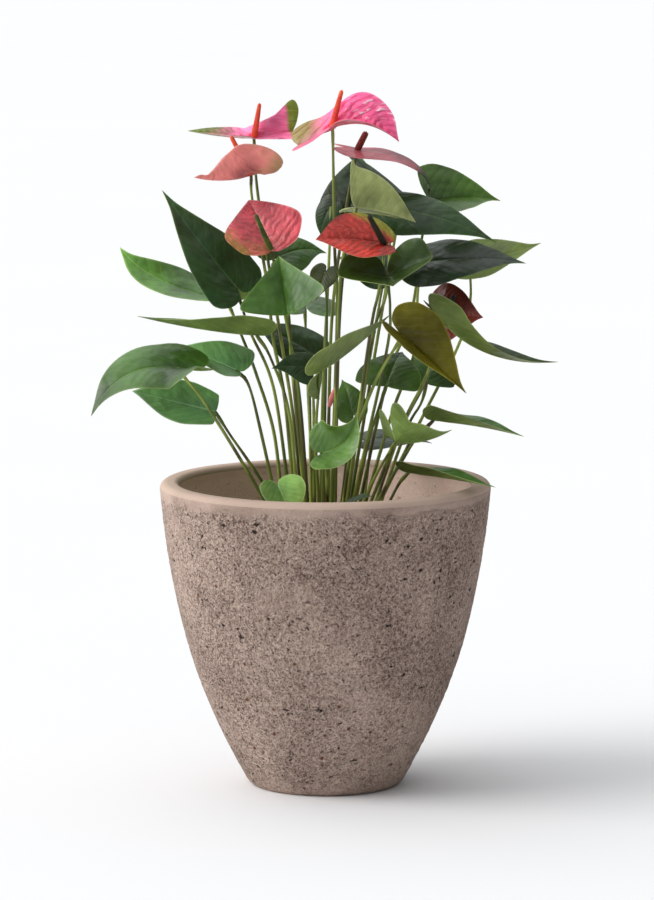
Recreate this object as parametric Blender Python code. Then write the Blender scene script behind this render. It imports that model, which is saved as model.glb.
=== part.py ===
"""Potted anthurium: a stone planter filled with soil, heart-shaped leaves and spathed blooms.

The origin is the middle of the planter's foot, +Z is up and -Y is the front. Tables and shape
functions are in millimetres, and MM turns them into Blender's metres when a mesh is made.
"""

import math
from collections import namedtuple

import bmesh
import bpy
import numpy as np

MM = 0.001
GAP = 0.3

# Planter: outer foot, rim and lip
POT_HEIGHT = 261.0
RIM_RADIUS = 141.0
LIP_WIDTH = 16.5
LIP_OUTER_ROUND = 6.0
LIP_INNER_ROUND = 5.0
FOOT_RADIUS = 61.0
FOOT_EDGE = (66.5, 3.0)
FOOT_TURN = (70.0, 9.0)
BELLY_LOW = (115.0, 90.0)
BELLY_HIGH = (131.0, 156.0)
WALL_THICKNESS = 15.0
FLOOR_HEIGHT = 20.0
FLOOR_RADIUS = 58.0
CAVITY_LEVELS = (60.0, 110.0, 200.0)
POT_SIDES = 32

# Soil
SOIL_HEIGHT = 212.0
SOIL_CLEARANCE = 0.7
MOUND = ((100.0, 1.0), (70.0, 0.0))
STALK_DEPTH = 14.0
HOLE_CLEARANCE = 0.5
HOLE_REACH = 8.0

# Leaves, spathes and stalks
BLADE_THICKNESS = 0.8
SPATHE_THICKNESS = 0.9
STALK_RADII = (1.65, 1.25)
STALK_SIDES = 5
STALK_STEP = 45.0
MARGIN_WAVE = 0.012
SPATHE_BOSS = 2.8

# Half outlines from the tip to the stalk's notch: distance along the midrib from the joint, as a
# share of the blade's length, and distance from the midrib, as a share of the half width
HEART_OUTLINE = [(1.0, 0.0), (0.85, 0.14), (0.64, 0.47), (0.38, 0.84), (0.11, 1.0), (-0.15, 0.88),
                 (-0.28, 0.50), (-0.22, 0.13), (-0.05, 0.0)]
WEDGE_OUTLINE = [(1.0, 0.0), (0.80, 0.20), (0.56, 0.47), (0.30, 0.76), (0.04, 1.0), (-0.10, 0.93),
                 (-0.14, 0.52), (-0.11, 0.15), (-0.04, 0.0)]
SPATHE_OUTLINE = [(1.0, 0.0), (0.87, 0.13), (0.69, 0.40), (0.46, 0.75), (0.20, 0.98), (-0.04, 0.97),
                  (-0.21, 0.76), (-0.29, 0.42), (-0.22, 0.13), (-0.07, 0.0)]
FLARED_OUTLINE = [(1.0, 0.0), (0.86, 0.16), (0.70, 0.38), (0.50, 0.60), (0.24, 0.78), (-0.03, 0.88),
                  (-0.22, 1.0), (-0.29, 0.74), (-0.26, 0.24), (-0.07, 0.0)]
SADDLE_OUTLINE = [(1.0, 0.0), (0.88, 0.16), (0.70, 0.36), (0.47, 0.54), (0.22, 0.60), (0.02, 0.50),
                  (-0.14, 0.60), (-0.26, 1.0), (-0.31, 0.72), (-0.30, 0.30), (-0.27, 0.0)]
PINCHED_OUTLINE = [(1.0, 0.0), (0.91, 0.18), (0.76, 0.55), (0.55, 0.88), (0.36, 1.0), (0.14, 0.66),
                   (-0.03, 0.50), (-0.16, 0.62), (-0.26, 0.56), (-0.28, 0.28), (-0.25, 0.0)]
HOODED_OUTLINE = [(1.0, 0.0), (0.90, 0.12), (0.78, 0.14), (0.62, 0.42), (0.42, 0.78), (0.20, 1.0),
                  (-0.04, 1.0), (-0.22, 0.80), (-0.29, 0.45), (-0.22, 0.13), (-0.07, 0.0)]
OVAL_OUTLINE = [(1.0, 0.0), (0.90, 0.22), (0.74, 0.62), (0.56, 0.92), (0.36, 1.0), (0.14, 0.86),
                (-0.06, 0.62), (-0.16, 0.40), (-0.16, 0.14), (-0.05, 0.0)]
KITE_OUTLINE = [(1.0, 0.0), (0.88, 0.20), (0.68, 0.55), (0.48, 0.88), (0.32, 1.0), (0.14, 0.88),
                (-0.02, 0.66), (-0.12, 0.40), (-0.14, 0.14), (-0.05, 0.0)]
BLADE_RINGS = (0.42, 0.76, 1.0)
SMALL_BLADE_RINGS = (0.52, 1.0)
SMALL_BLADE = 75.0
LOBE_BLEND = 0.12

# A blade hangs from its joint and ends in its tip. bend moves the midrib's middle off the straight
# line, face is the way its upper side looks at the joint, fold lifts the left and right half and
# cup adds to that towards the margin, all in degrees, as are twist, from joint to tip, and
# lobes, which lifts the two lobes behind the joint. lobe_length stretches them, and lobe_fold is
# their own fold where it isn't the blade's.
Blade = namedtuple("Blade", "joint tip bend face width fold cup twist lobes lobe_length lobe_fold outline",
                   defaults=((8, 8), -10, 0, 0, 1.0, None, HEART_OUTLINE))
Leaf = namedtuple("Leaf", "name shade blade root via", defaults=((),))
Bloom = namedtuple("Bloom", "name colours blade spadix_top spadix_radius root via outline",
                   defaults=((), SPATHE_OUTLINE))

LEAVES = [
    # The tall crown, left of the middle
    Leaf("leaf_left_tall", "deep",
         Blade((-76, 2, 426), (-139, 22, 507), (0, -3, -2), (0.5, -0.66, 0.45), 68, (14, 14), -10, 0, 0, 0.4),
         (-27, 6), [(-64, 8, 388), (-43, 4, 335)]),
    Leaf("leaf_left_upper", "mid",
         Blade((-84, 30, 412), (-176, 48, 456), (-13, -6, -4), (0, 0.15, 1), 68, (0, 20), -5, -48, 0,
               0.6, (45, 10)),
         (-35, 6), [(-73, 24, 386), (-59, 18, 350), (-43, 9, 296)]),
    Leaf("leaf_left_level", "mid",
         Blade((-58, -24, 388), (-157, -52, 407), (0, 0, -2), (0, 0, 1), 50, (50, 10), -6, -25, 0, 0.5),
         (-22, -16), [(-46, -22, 368), (-30, -20, 317)]),
    Leaf("leaf_centre_large", "mid",
         Blade((-31, -70, 412), (-39, -34, 456), (0, 0, 0), (0.22, -0.71, 0.67), 84, (10, 62), -4, 0, 0,
               0.6, None, WEDGE_OUTLINE),
         (-14, -27), [(-29, -52, 388), (-28, -38, 361)]),
    Leaf("leaf_crown_back", "mid",
         Blade((-40, 38, 448), (1, 66, 449), (0, 0, 5), (0, -0.7, 0.7), 46),
         (-14, 19), [(-28, 30, 360)]),
    Leaf("leaf_crown_small", "olive",
         Blade((0, -12, 440), (-8, -22, 416), (0, 0, 2), (-0.3, -0.8, 0.3), 26),
         (-3, 2), [(1, -6, 390)]),
    # Behind the upper stems
    Leaf("leaf_back_upright", "deep",
         Blade((21, 50, 484), (30, 80, 535), (0, 0, 4), (-0.3, -0.85, 0.4), 58),
         (8, 30), [(12, 44, 390)]),
    Leaf("leaf_back_lobe", "deep",
         Blade((5, 45, 491), (-3, 50, 464), (-3, 0, 0), (-0.5, -0.8, 0.2), 24),
         (-5, 23), [(2, 38, 420), (-2, 31, 336)]),
    Leaf("leaf_right_long", "deep",
         Blade((56, 5, 493), (144, -20, 466), (0, 0, 5), (0.15, -0.75, 0.66), 48, (2, 0), -12, 0, 0, 0.6),
         (14, -3), [(52, 0, 424), (42, -8, 394), (33, -21, 345)]),
    Leaf("leaf_right_edge", "deep",
         Blade((65, 42, 494), (13, 60, 539), (0, 0, 2), (0.55, -0.35, 0.75), 40),
         (17, 25), [(50, 40, 410)]),
    Leaf("leaf_top_right", "mid",
         Blade((93, 60, 494), (151, 80, 493), (0, 0, 3), (0, -0.35, 0.93), 76, (36, 14), -6, 0, 0, 0.3),
         (24, 16), [(83, 56, 464), (79, 54, 428), (71, 52, 388), (52, 42, 338)]),
    Leaf("leaf_pale_front", "pale",
         Blade((26, -44, 497), (76, -32, 484), (0, 0, 2), (-0.31, 0.86, -0.39), 84, (108, 0), -4, 0, 0,
               0.35, None, FLARED_OUTLINE),
         (5, -7), [(15, -36, 456), (11, -28, 400)]),
    Leaf("leaf_far_right", "mid",
         Blade((124, 75, 443), (187, 98, 455), (0, 0, -3), (0, 0.75, 0.66), 52),
         (33, 19), [(125, 70, 407), (115, 64, 370), (82, 48, 306)]),
    Leaf("leaf_right_dark", "deep",
         Blade((87, 15, 446), (170, 5, 446), (0, 0, 4), (0.03, -0.5, 0.87), 62, (8, 4)),
         (26, 9), [(79, 17, 424), (76, 24, 368), (57, 20, 316)]),
    Leaf("leaf_cupped_front", "mid",
         Blade((51, -60, 442), (56, -90, 436), (0, 0, -1), (0, 0, 1), 84, (26, 4), 0, 0, 50, 2.0, (38, 10)),
         (16, -11), [(54, -60, 414), (50, -46, 370)]),
    Leaf("leaf_young_bronze", "bronze",
         Blade((64, -85, 394), (117, -95, 347), (0, 0, 0), (0.47, -0.71, 0.52), 64, (45, 45), -8),
         (11, -31), [(44, -72, 359), (30, -58, 322), (21, -46, 290)]),
    Leaf("leaf_right_twisted", "mid",
         Blade((101, -38, 398), (195, -48, 368), (-6, 0, -10), (0, 0.1, 1), 46, (10, 60), -6, 60),
         (26, -7), [(83, -22, 348), (66, -14, 312)]),
    Leaf("leaf_right_low", "mid",
         Blade((92, -4, 313), (168, -18, 301), (0, 0, 2), (0, 0, 1), 46, (15, 48), -10, 30, 0, 0.4),
         (29, -17), [(78, -6, 299), (65, -10, 279), (46, -14, 248)]),
    Leaf("leaf_right_rim", "mid",
         Blade((70, -45, 274), (142, -76, 266), (0, 0, 1), (0, 0, 1), 42, (15, 46), -10, 30, 0, 0.4),
         (38, -30), [(60, -39, 260)]),
    Leaf("leaf_right_cupped", "mid",
         Blade((59, -76, 304), (106, -58, 312), (0, 0, -4), (-0.1, 0, 1), 60, (10, 40), 0, 0, 62, 1.8),
         (22, -25), [(54, -66, 295), (39, -44, 264)]),
    Leaf("leaf_right_under", "deep",
         Blade((40, 82, 285), (93, 95, 280), (0, 0, 3), (0, -0.25, 0.97), 44),
         (30, 32), []),
    Leaf("leaf_right_inner", "mid",
         Blade((52, -14, 345), (66, 26, 368), (0, 0, 4), (-0.1, -0.8, 0.6), 56, (8, 8), -10, 0, 0, 0.3),
         (19, 1), [(44, -8, 320), (36, -4, 292)]),
    Leaf("leaf_right_behind", "mid",
         Blade((87, 36, 341), (97, 72, 363), (0, 0, 4), (0, -0.7, 0.7), 48, (8, 8), -10, 0, 0, 0.3),
         (38, 11), [(82, 32, 323), (68, 24, 298)]),
    # Among the stems
    Leaf("leaf_stem_back", "deep",
         Blade((-14, 58, 364), (-63, 74, 386), (0, 0, 3), (-0.1, -0.55, 0.8), 46),
         (-12, 29), []),
    Leaf("leaf_stem_dark", "deep",
         Blade((-13, -54, 363), (-45, -60, 364), (0, 0, 2), (0, -0.7, 0.7), 34, (8, 8), -10, 0, 0, 0.4),
         (-9, -8), [(-10, -45, 338)]),
    Leaf("leaf_stem_long", "mid",
         Blade((-4, -90, 365), (55, -52, 409), (0, 0, -3), (-0.3, 0.6, 0.75), 54, (35, 15), -5, 0, 0,
               0.7, (-25, 15)),
         (-3, -31), [(-8, -67, 303)]),
    Leaf("leaf_front_rim", "bright",
         Blade((-39, -85, 267), (-25, -93, 237), (0, -2, 0), (0.1, -0.85, 0.5), 44, (10, 40), -6, 0, 0, 0.8),
         (-26, -41), []),
    Leaf("leaf_front_heart", "mid",
         Blade((1, -94, 298), (26, -107, 333), (5, 0, -5), (0.2, -0.9, 0.4), 54, (6, 52), -4),
         (2, -43), []),
    Leaf("leaf_front_low", "deep",
         Blade((12, -80, 250), (40, -100, 262), (0, 0, 2), (0, -0.3, 0.95), 30),
         (13, -44), []),
    Leaf("leaf_stem_upright", "mid",
         Blade((23, 10, 319), (14, 30, 344), (0, 0, 2), (-0.2, -0.8, 0.5), 28),
         (11, 9), []),
    # The low left side
    Leaf("leaf_left_drooping", "mid",
         Blade((-124, -60, 364), (-195, -78, 326), (-7, 0, 14), (-0.1, -0.55, 0.8), 70, (20, 6), -14, 0, 0,
               1.2, (60, 12)),
         (-33, -29), [(-100, -50, 332), (-62, -38, 268)]),
    Leaf("leaf_left_middle", "mid",
         Blade((-76, -15, 357), (-130, 0, 375), (0, 0, 2), (0, -0.4, 0.9), 60, (30, 18), -8, 0, 0, 0.5),
         (-35, -11), [(-65, -16, 345), (-54, -16, 302)]),
    Leaf("leaf_left_flat", "mid",
         Blade((-93, -24, 323), (-163, -28, 341), (0, 0, 0), (0.1, -0.85, 0.5), 45, (28, 4), -8, 0, 0, 0.1,
               None, OVAL_OUTLINE),
         (-30, -20), [(-81, -24, 304), (-52, -22, 260)]),
    # The back
    Leaf("leaf_rear_left", "mid",
         Blade((-18, 100, 400), (-35, 170, 395), (0, 0, 8), (0, 0.3, 0.95), 64),
         (-8, 38), [(-14, 66, 310)]),
    Leaf("leaf_rear_right", "deep",
         Blade((52, 102, 430), (10, 128, 438), (0, 0, 6), (0, -0.6, 0.8), 50),
         (15, 44), [(34, 78, 330)]),
]

BLOOMS = [
    Bloom("bloom_left_top", ("pink", "orange"),
          Blade((-61, 50, 549), (-117, 40, 556), (0, 0, -1), (0, 0, 1), 58, (8, 26), 0, 0, 12, 2.2, (-8, 70)),
          (-56, 50, 579), (3.0, 1.7), (-17, 9), [(-57, 40, 497), (-38, 18, 381), (-27, 10, 311)],
          SADDLE_OUTLINE),
    Bloom("bloom_top", ("pink", "orange"),
          Blade((6, 0, 561), (62, -10, 550), (0, 0, 9), (0, -0.45, 0.9), 64, (32, 40), -5, 0, -4,
                2.3, (22, 24)),
          (14, 0, 593), (3.0, 1.8), (4, 11), [(8, 5, 457), (10, 8, 400)], PINCHED_OUTLINE),
    Bloom("bloom_right_top", ("mauve", "red"),
          Blade((27, 30, 540), (88, 35, 500), (18, 0, 9), (0, -0.05, 1), 44, (0, -12), 0, 0, 12, 1.0),
          (35, 30, 556), (3.0, 2.6), (2, 21), [(17, 28, 486), (5, 20, 388)]),
    Bloom("bloom_left_hooded", ("salmon", "orange"),
          Blade((-63, 14, 520), (-111, 4, 519), (0, 0, -3), (0, 0.2, 0.98), 60, (60, 58), 0, 0, -16, 2.1),
          (-80, 18, 553), (2.8, 1.8), (-24, -5),
          [(-62, 28, 497), (-50, 22, 430), (-44, 8, 379), (-34, -2, 327)], HOODED_OUTLINE),
    Bloom("bloom_left_open", ("rose", "green"),
          Blade((-46, -22, 461), (-65, 14, 499), (0, 0, 3), (-0.1, -0.62, 0.76), 68, (10, 12), -4, 0, 0, 0.6),
          (-58, -49, 492), (2.5, 1.6), (-13, -14), [(-41, -12, 438), (-29, -11, 377), (-21, -14, 326)],
          KITE_OUTLINE),
    Bloom("bloom_centre_red", ("red", "dark"),
          Blade((49, -62, 469), (-8, -72, 473), (0, 0, 2), (0, -0.7, 0.7), 58, (25, 6), -4, 0, 0, 0.9),
          (36, -82, 494), (2.8, 2.0), (13, -20), [(48, -34, 444), (44, -30, 421), (37, -29, 385)],
          OVAL_OUTLINE),
    Bloom("bloom_right_maroon", ("maroon", "dark"),
          Blade((98, 15, 400), (134, 5, 400), (0, 0, 1), (0.1, -0.8, 0.6), 60, (12, 5), 0, 0, 0, 1.0, (4, 4)),
          (110, 2, 419), (2.6, 2.0), (33, 3), [(94, 24, 372), (84, 24, 340), (64, 18, 300)]),
]

BUD_ROOT = (-2, -17)
BUD_BASE = (3, -15, 326)
BUD_TIP = (9, -15, 345)
BUD_RADIUS = 2.3

SHADES = {
    "deep": (0.030, 0.085, 0.032), "mid": (0.055, 0.150, 0.045), "bright": (0.110, 0.260, 0.050),
    "pale": (0.260, 0.330, 0.120), "olive": (0.090, 0.140, 0.020), "bronze": (0.110, 0.090, 0.010),
    "pink": (0.800, 0.120, 0.260), "mauve": (0.380, 0.110, 0.140), "salmon": (0.560, 0.170, 0.150),
    "rose": (0.550, 0.080, 0.100), "red": (0.480, 0.060, 0.060), "maroon": (0.110, 0.015, 0.012),
    "orange": (0.850, 0.130, 0.050), "green": (0.100, 0.210, 0.030), "dark": (0.020, 0.030, 0.012),
    "stalk": (0.110, 0.170, 0.040), "stone": (0.330, 0.250, 0.190), "soil": (0.040, 0.028, 0.020),
}
ROUGHNESS = {"stone": 0.9, "soil": 0.95, "stalk": 0.5}
LEAF_ROUGHNESS = 0.35
SHARP_ANGLE = 50

# Spadix and bud: shares of their length, and the radius there as a share of the full radius
SPADIX_SHARES = (0.0, 0.12, 0.24, 0.36, 0.48, 0.60, 0.72, 0.84, 0.94, 1.0)
SPADIX_SIDES = 8
SPADIX_RELIEF = 0.05
SPADIX_FOOT = 2.4
SPADIX_POINT = 0.5
BUD_SHARES = (0.0, 0.15, 0.4, 0.7, 0.9, 1.0)
BUD_GIRTHS = (0.7, 0.95, 1.0, 0.75, 0.4, 0.15)
BUD_SIDES = 7
CURVE_STEPS = 12


def clear_scene():
    for item in list(bpy.data.objects):
        bpy.data.objects.remove(item, do_unlink=True)


def material(name):
    existing = bpy.data.materials.get(name)
    if existing:
        return existing
    made = bpy.data.materials.new(name)
    made.use_nodes = True
    shader = made.node_tree.nodes["Principled BSDF"]
    shader.inputs["Base Color"].default_value = (*SHADES[name], 1.0)
    shader.inputs["Roughness"].default_value = ROUGHNESS.get(name, LEAF_ROUGHNESS)
    shader.inputs["Metallic"].default_value = 0.0
    return made


def add_object(name, points, faces, shade):
    """A new object from points in millimetres, with its faces pointing out."""
    mesh = bpy.data.meshes.new(name)
    mesh.from_pydata([tuple(np.asarray(point) * MM) for point in points], [], faces)
    work = bmesh.new()
    work.from_mesh(mesh)
    bmesh.ops.triangulate(work, faces=work.faces[:])
    bmesh.ops.recalc_face_normals(work, faces=work.faces[:])
    work.to_mesh(mesh)
    work.free()
    mesh.shade_smooth()
    mesh.set_sharp_from_angle(angle=math.radians(SHARP_ANGLE))
    mesh.materials.append(material(shade))
    made = bpy.data.objects.new(name, mesh)
    bpy.context.scene.collection.objects.link(made)
    return made


def combine(target, others, operation):
    """Apply one Boolean of the other objects to the target, and remove them."""
    group = bpy.data.collections.new("operands")
    bpy.context.scene.collection.children.link(group)
    for other in others:
        group.objects.link(other)
    boolean = target.modifiers.new(operation.lower(), "BOOLEAN")
    boolean.operation = operation
    boolean.solver = "EXACT"
    boolean.operand_type = "COLLECTION"
    boolean.collection = group
    result = target.evaluated_get(bpy.context.evaluated_depsgraph_get())
    joined = bpy.data.meshes.new_from_object(result)
    target.modifiers.clear()
    target.data = joined
    for other in others:
        bpy.data.objects.remove(other, do_unlink=True)
    bpy.data.collections.remove(group)
    return target


def unit(vector):
    vector = np.asarray(vector, dtype=float)
    return vector / np.linalg.norm(vector)


def rotate(vector, axis, angle):
    """Turn a vector about a unit axis by an angle in radians."""
    cosine, sine = math.cos(angle), math.sin(angle)
    return vector * cosine + np.cross(axis, vector) * sine + axis * np.dot(axis, vector) * (1 - cosine)


def bezier(points, share):
    """A point on the Bezier curve of any number of control points."""
    points = [np.asarray(point, dtype=float) for point in points]
    while len(points) > 1:
        points = [a + (b - a) * share for a, b in zip(points, points[1:])]
    return points[0]


def smooth_path(points, step):
    """Evenly spaced points on a smooth curve through the given points, about a step apart."""
    points = [np.asarray(point, dtype=float) for point in points]
    ends = [2 * points[0] - points[1], *points, 2 * points[-1] - points[-2]]
    fine = []
    for before, start, end, after in zip(ends, ends[1:], ends[2:], ends[3:]):
        for share in np.linspace(0, 1, CURVE_STEPS, endpoint=False):
            square, cube = share ** 2, share ** 3
            fine.append(0.5 * (2 * start + (end - before) * share
                               + (2 * before - 5 * start + 4 * end - after) * square
                               + (3 * start - before - 3 * end + after) * cube))
    fine = np.array([*fine, points[-1]])
    distance = np.concatenate([[0], np.cumsum(np.linalg.norm(np.diff(fine, axis=0), axis=1))])
    wanted = np.linspace(0, distance[-1], max(3, round(distance[-1] / step)) + 1)
    return np.column_stack([np.interp(wanted, distance, fine[:, axis]) for axis in range(3)])


def blade_frame(blade, share):
    """The midrib's point, direction, upper side and right side at a share of its length."""
    joint, tip = np.asarray(blade.joint, dtype=float), np.asarray(blade.tip, dtype=float)
    control = (joint + tip) / 2 + 2 * np.asarray(blade.bend, dtype=float)
    along = min(max(share, 0.0), 1.0)
    point = bezier([joint, control, tip], along)
    direction = unit((control - joint) * (1 - along) + (tip - control) * along)
    face = unit(blade.face)
    upper = unit(face - direction * np.dot(face, direction))
    upper = rotate(upper, direction, math.radians(blade.twist) * along)
    return point, direction, upper, np.cross(direction, upper)


def blade_point(blade, share, reach, flat_radius=0.0):
    """A point of the blade: share along the midrib, reach from -1 (left margin) to 1 (right)."""
    length = np.linalg.norm(np.asarray(blade.tip, dtype=float) - np.asarray(blade.joint, dtype=float))
    point, direction, upper, right = blade_frame(blade, share)
    sideways = abs(reach) * blade.width / 2
    behind = max(-share, 0.0) * length * blade.lobe_length
    ease = 1.0
    if flat_radius:
        distance = math.hypot(sideways, share * length)
        ease = min(max(distance / flat_radius - 1.0, 0.0), 1.0)
    half = 0 if reach < 0 else 1
    fold = blade.fold[half]
    if blade.lobe_fold:
        forward = min(max((share + LOBE_BLEND) / (2 * LOBE_BLEND), 0.0), 1.0)
        fold = blade.lobe_fold[half] + (fold - blade.lobe_fold[half]) * forward
    angle = math.radians(fold + blade.cup * abs(reach)) * ease
    lift = math.radians(blade.lobes) * ease
    point = point + (upper * math.sin(lift) - direction * math.cos(lift)) * behind
    point = point + right * (reach * blade.width / 2) * math.cos(angle)
    point = point + upper * sideways * math.sin(angle)
    wave = MARGIN_WAVE * length * math.sin(7.0 * share + blade.width) * abs(reach) ** 2 * ease
    return point + upper * wave


def blade_mesh(blade, outline, thickness, flat_radius=0.0):
    """Points and faces of a blade: a fan of rings about the joint, alike on both faces."""
    right_side = outline[1:-1]
    left_side = [(share, -reach) for share, reach in reversed(right_side)]
    margin = [outline[0], *right_side, outline[-1], *left_side]
    count = len(margin)
    layout = [(0.0, 0.0)]
    length = np.linalg.norm(np.asarray(blade.tip, dtype=float) - np.asarray(blade.joint, dtype=float))
    rings = BLADE_RINGS if length > SMALL_BLADE else SMALL_BLADE_RINGS
    centre = [(0.0, 0.0)] * count
    if flat_radius:
        centre = [(math.cos(turn) * flat_radius / length, math.sin(turn) * flat_radius / (blade.width / 2))
                  for turn in np.linspace(0, 2 * math.pi, count, endpoint=False)]
        layout += centre
    for ring in rings:
        layout += [tuple(np.array(start) * (1 - ring) + np.array(end) * ring)
                   for start, end in zip(centre, margin)]
    middle = np.array([blade_point(blade, share, reach, flat_radius) for share, reach in layout])
    ring_count = len(rings) + (1 if flat_radius else 0)
    faces = [(0, 1 + step, 1 + (step + 1) % count) for step in range(count)]
    for ring in range(ring_count - 1):
        inner, outer = 1 + ring * count, 1 + (ring + 1) * count
        for step in range(count):
            after = (step + 1) % count
            faces.append((inner + step, outer + step, outer + after))
            faces.append((inner + step, outer + after, inner + after))
    normals = np.zeros_like(middle)
    for face in faces:
        first, second, third = middle[list(face)]
        normals[list(face)] += np.cross(second - first, third - first)
    normals /= np.linalg.norm(normals, axis=1)[:, None]
    if np.dot(normals[0], blade_frame(blade, 0)[2]) < 0:
        normals = -normals
    total = len(middle)
    points = np.concatenate([middle + normals * thickness / 2, middle - normals * thickness / 2])
    closed = list(faces) + [tuple(index + total for index in reversed(face)) for face in faces]
    edge = 1 + (ring_count - 1) * count
    for step in range(count):
        after = (step + 1) % count
        closed += [(edge + after, edge + step, edge + step + total),
                   (edge + after, edge + step + total, edge + after + total)]
    return points, closed


def tube_mesh(path, radii, sides, relief=0.0, start_plane=None, end_plane=None):
    """Points and faces of a round bar along a path, with a ring at each point and closed ends."""
    path = np.asarray(path, dtype=float)
    directions = np.gradient(path, axis=0)
    directions /= np.linalg.norm(directions, axis=1)[:, None]
    across = unit(np.cross(directions[0], (0.0, 1.0, 0.3)))
    points = []
    for number, (centre, direction) in enumerate(zip(path, directions)):
        across = unit(across - direction * np.dot(across, direction))
        other = np.cross(direction, across)
        plane = start_plane if number == 0 else end_plane if number == len(path) - 1 else None
        for side in range(sides):
            turn = 2 * math.pi * side / sides
            radius = radii[number] * (1 + relief * (-1) ** (side + number))
            point = centre + (across * math.cos(turn) + other * math.sin(turn)) * radius
            if plane is not None:
                point = point + direction * np.dot(centre - point, plane) / np.dot(direction, plane)
            points.append(point)
    faces = []
    for ring in range(len(path) - 1):
        for side in range(sides):
            after = (side + 1) % sides
            low, high = ring * sides, (ring + 1) * sides
            faces += [(low + side, low + after, high + after), (low + side, high + after, high + side)]
    top = (len(path) - 1) * sides
    faces += [tuple(reversed(range(sides))), tuple(range(top, top + sides))]
    return points, faces


def stalk_path(root, via, end):
    """The middle line of a stalk, from its foot in the soil to where it ends."""
    foot = np.array([root[0], root[1], SOIL_HEIGHT])
    first = np.asarray(via[-1] if via else end, dtype=float)
    lean = unit(first - foot)
    below = foot - lean * STALK_DEPTH / lean[2]
    return smooth_path([below, foot, *reversed(list(via)), end], STALK_STEP)


def stalk_mesh(root, via, end, radii, end_plane=None):
    path = stalk_path(root, via, end)
    sizes = np.linspace(radii[0], radii[1], len(path))
    return tube_mesh(path, sizes, STALK_SIDES, end_plane=end_plane)


def build_leaf(leaf):
    points, faces = blade_mesh(leaf.blade, leaf.blade.outline, BLADE_THICKNESS)
    blade = add_object(leaf.name, points, faces, leaf.shade)
    upper = blade_frame(leaf.blade, 0)[2]
    end = np.asarray(leaf.blade.joint, dtype=float) + upper * BLADE_THICKNESS
    points, faces = stalk_mesh(leaf.root, leaf.via, end, STALK_RADII)
    stalk = add_object(leaf.name + "_stalk", points, faces, leaf.shade)
    return combine(blade, [stalk], "UNION")


def build_bloom(bloom):
    """A bloom's spathe, the spadix that stands on it and the stalk under it."""
    spathe_colour, spadix_colour = bloom.colours
    points, faces = blade_mesh(bloom.blade, bloom.outline, SPATHE_THICKNESS, SPATHE_BOSS)
    add_object(bloom.name + "_spathe", points, faces, spathe_colour)
    joint = np.asarray(bloom.blade.joint, dtype=float)
    upper = blade_frame(bloom.blade, 0)[2]
    clear = SPATHE_THICKNESS / 2 + GAP
    points, faces = stalk_mesh(bloom.root, bloom.via, joint - upper * clear, STALK_RADII, upper)
    add_object(bloom.name + "_stalk", points, faces, "stalk")
    base, top = joint + upper * clear, np.asarray(bloom.spadix_top, dtype=float)
    thick, thin = bloom.spadix_radius
    sizes = [thick + (thin - thick) * share for share in SPADIX_SHARES]
    sizes[0] = min(SPADIX_FOOT, thick)
    sizes[-1] = thin * SPADIX_POINT
    path = [base + (top - base) * share for share in SPADIX_SHARES]
    points, faces = tube_mesh(path, sizes, SPADIX_SIDES, SPADIX_RELIEF, start_plane=upper)
    add_object(bloom.name + "_spadix", points, faces, spadix_colour)


def build_bud():
    """The rolled young bloom low among the stems, on its own stalk."""
    base, tip = np.asarray(BUD_BASE, dtype=float), np.asarray(BUD_TIP, dtype=float)
    axis = unit(tip - base)
    points, faces = stalk_mesh(BUD_ROOT, (), base - axis * GAP, STALK_RADII, axis)
    add_object("bud_stalk", points, faces, "stalk")
    path = [base + (tip - base) * share for share in BUD_SHARES]
    points, faces = tube_mesh(path, [BUD_RADIUS * girth for girth in BUD_GIRTHS], BUD_SIDES, start_plane=axis)
    add_object("bud", points, faces, "pink")


def arc(centre, radius, start, end, steps):
    """Points on an arc of a profile, with its angles in degrees."""
    return [(centre[0] + radius * math.cos(math.radians(angle)),
             centre[1] + radius * math.sin(math.radians(angle)))
            for angle in np.linspace(start, end, steps)]


def outer_profile(steps):
    """The planter's outer side, from the turn of its foot up to the rim."""
    rim = (RIM_RADIUS, POT_HEIGHT - LIP_OUTER_ROUND)
    return [tuple(bezier([FOOT_TURN, BELLY_LOW, BELLY_HIGH, rim], share))
            for share in np.linspace(0, 1, steps)]


def inner_radius(height):
    """The planter's inner radius at a height, between its floor and its lip."""
    profile = outer_profile(40)
    outer = np.interp(height, [point[1] for point in profile], [point[0] for point in profile])
    return max(outer - WALL_THICKNESS, FLOOR_RADIUS)


def turned_mesh(profile, sides):
    """Points and faces of a profile turned about Z; its first and last points are on the axis."""
    points = [(0.0, 0.0, profile[0][1])]
    rings = profile[1:-1]
    for radius, height in rings:
        points += [(radius * math.cos(2 * math.pi * side / sides),
                    radius * math.sin(2 * math.pi * side / sides), height) for side in range(sides)]
    points.append((0.0, 0.0, profile[-1][1]))
    last = len(points) - 1
    faces = []
    for side in range(sides):
        after = (side + 1) % sides
        faces.append((0, 1 + after, 1 + side))
        for ring in range(len(rings) - 1):
            low, high = 1 + ring * sides, 1 + (ring + 1) * sides
            faces.append((low + side, low + after, high + after, high + side))
        top = 1 + (len(rings) - 1) * sides
        faces.append((last, top + side, top + after))
    return points, faces


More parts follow.
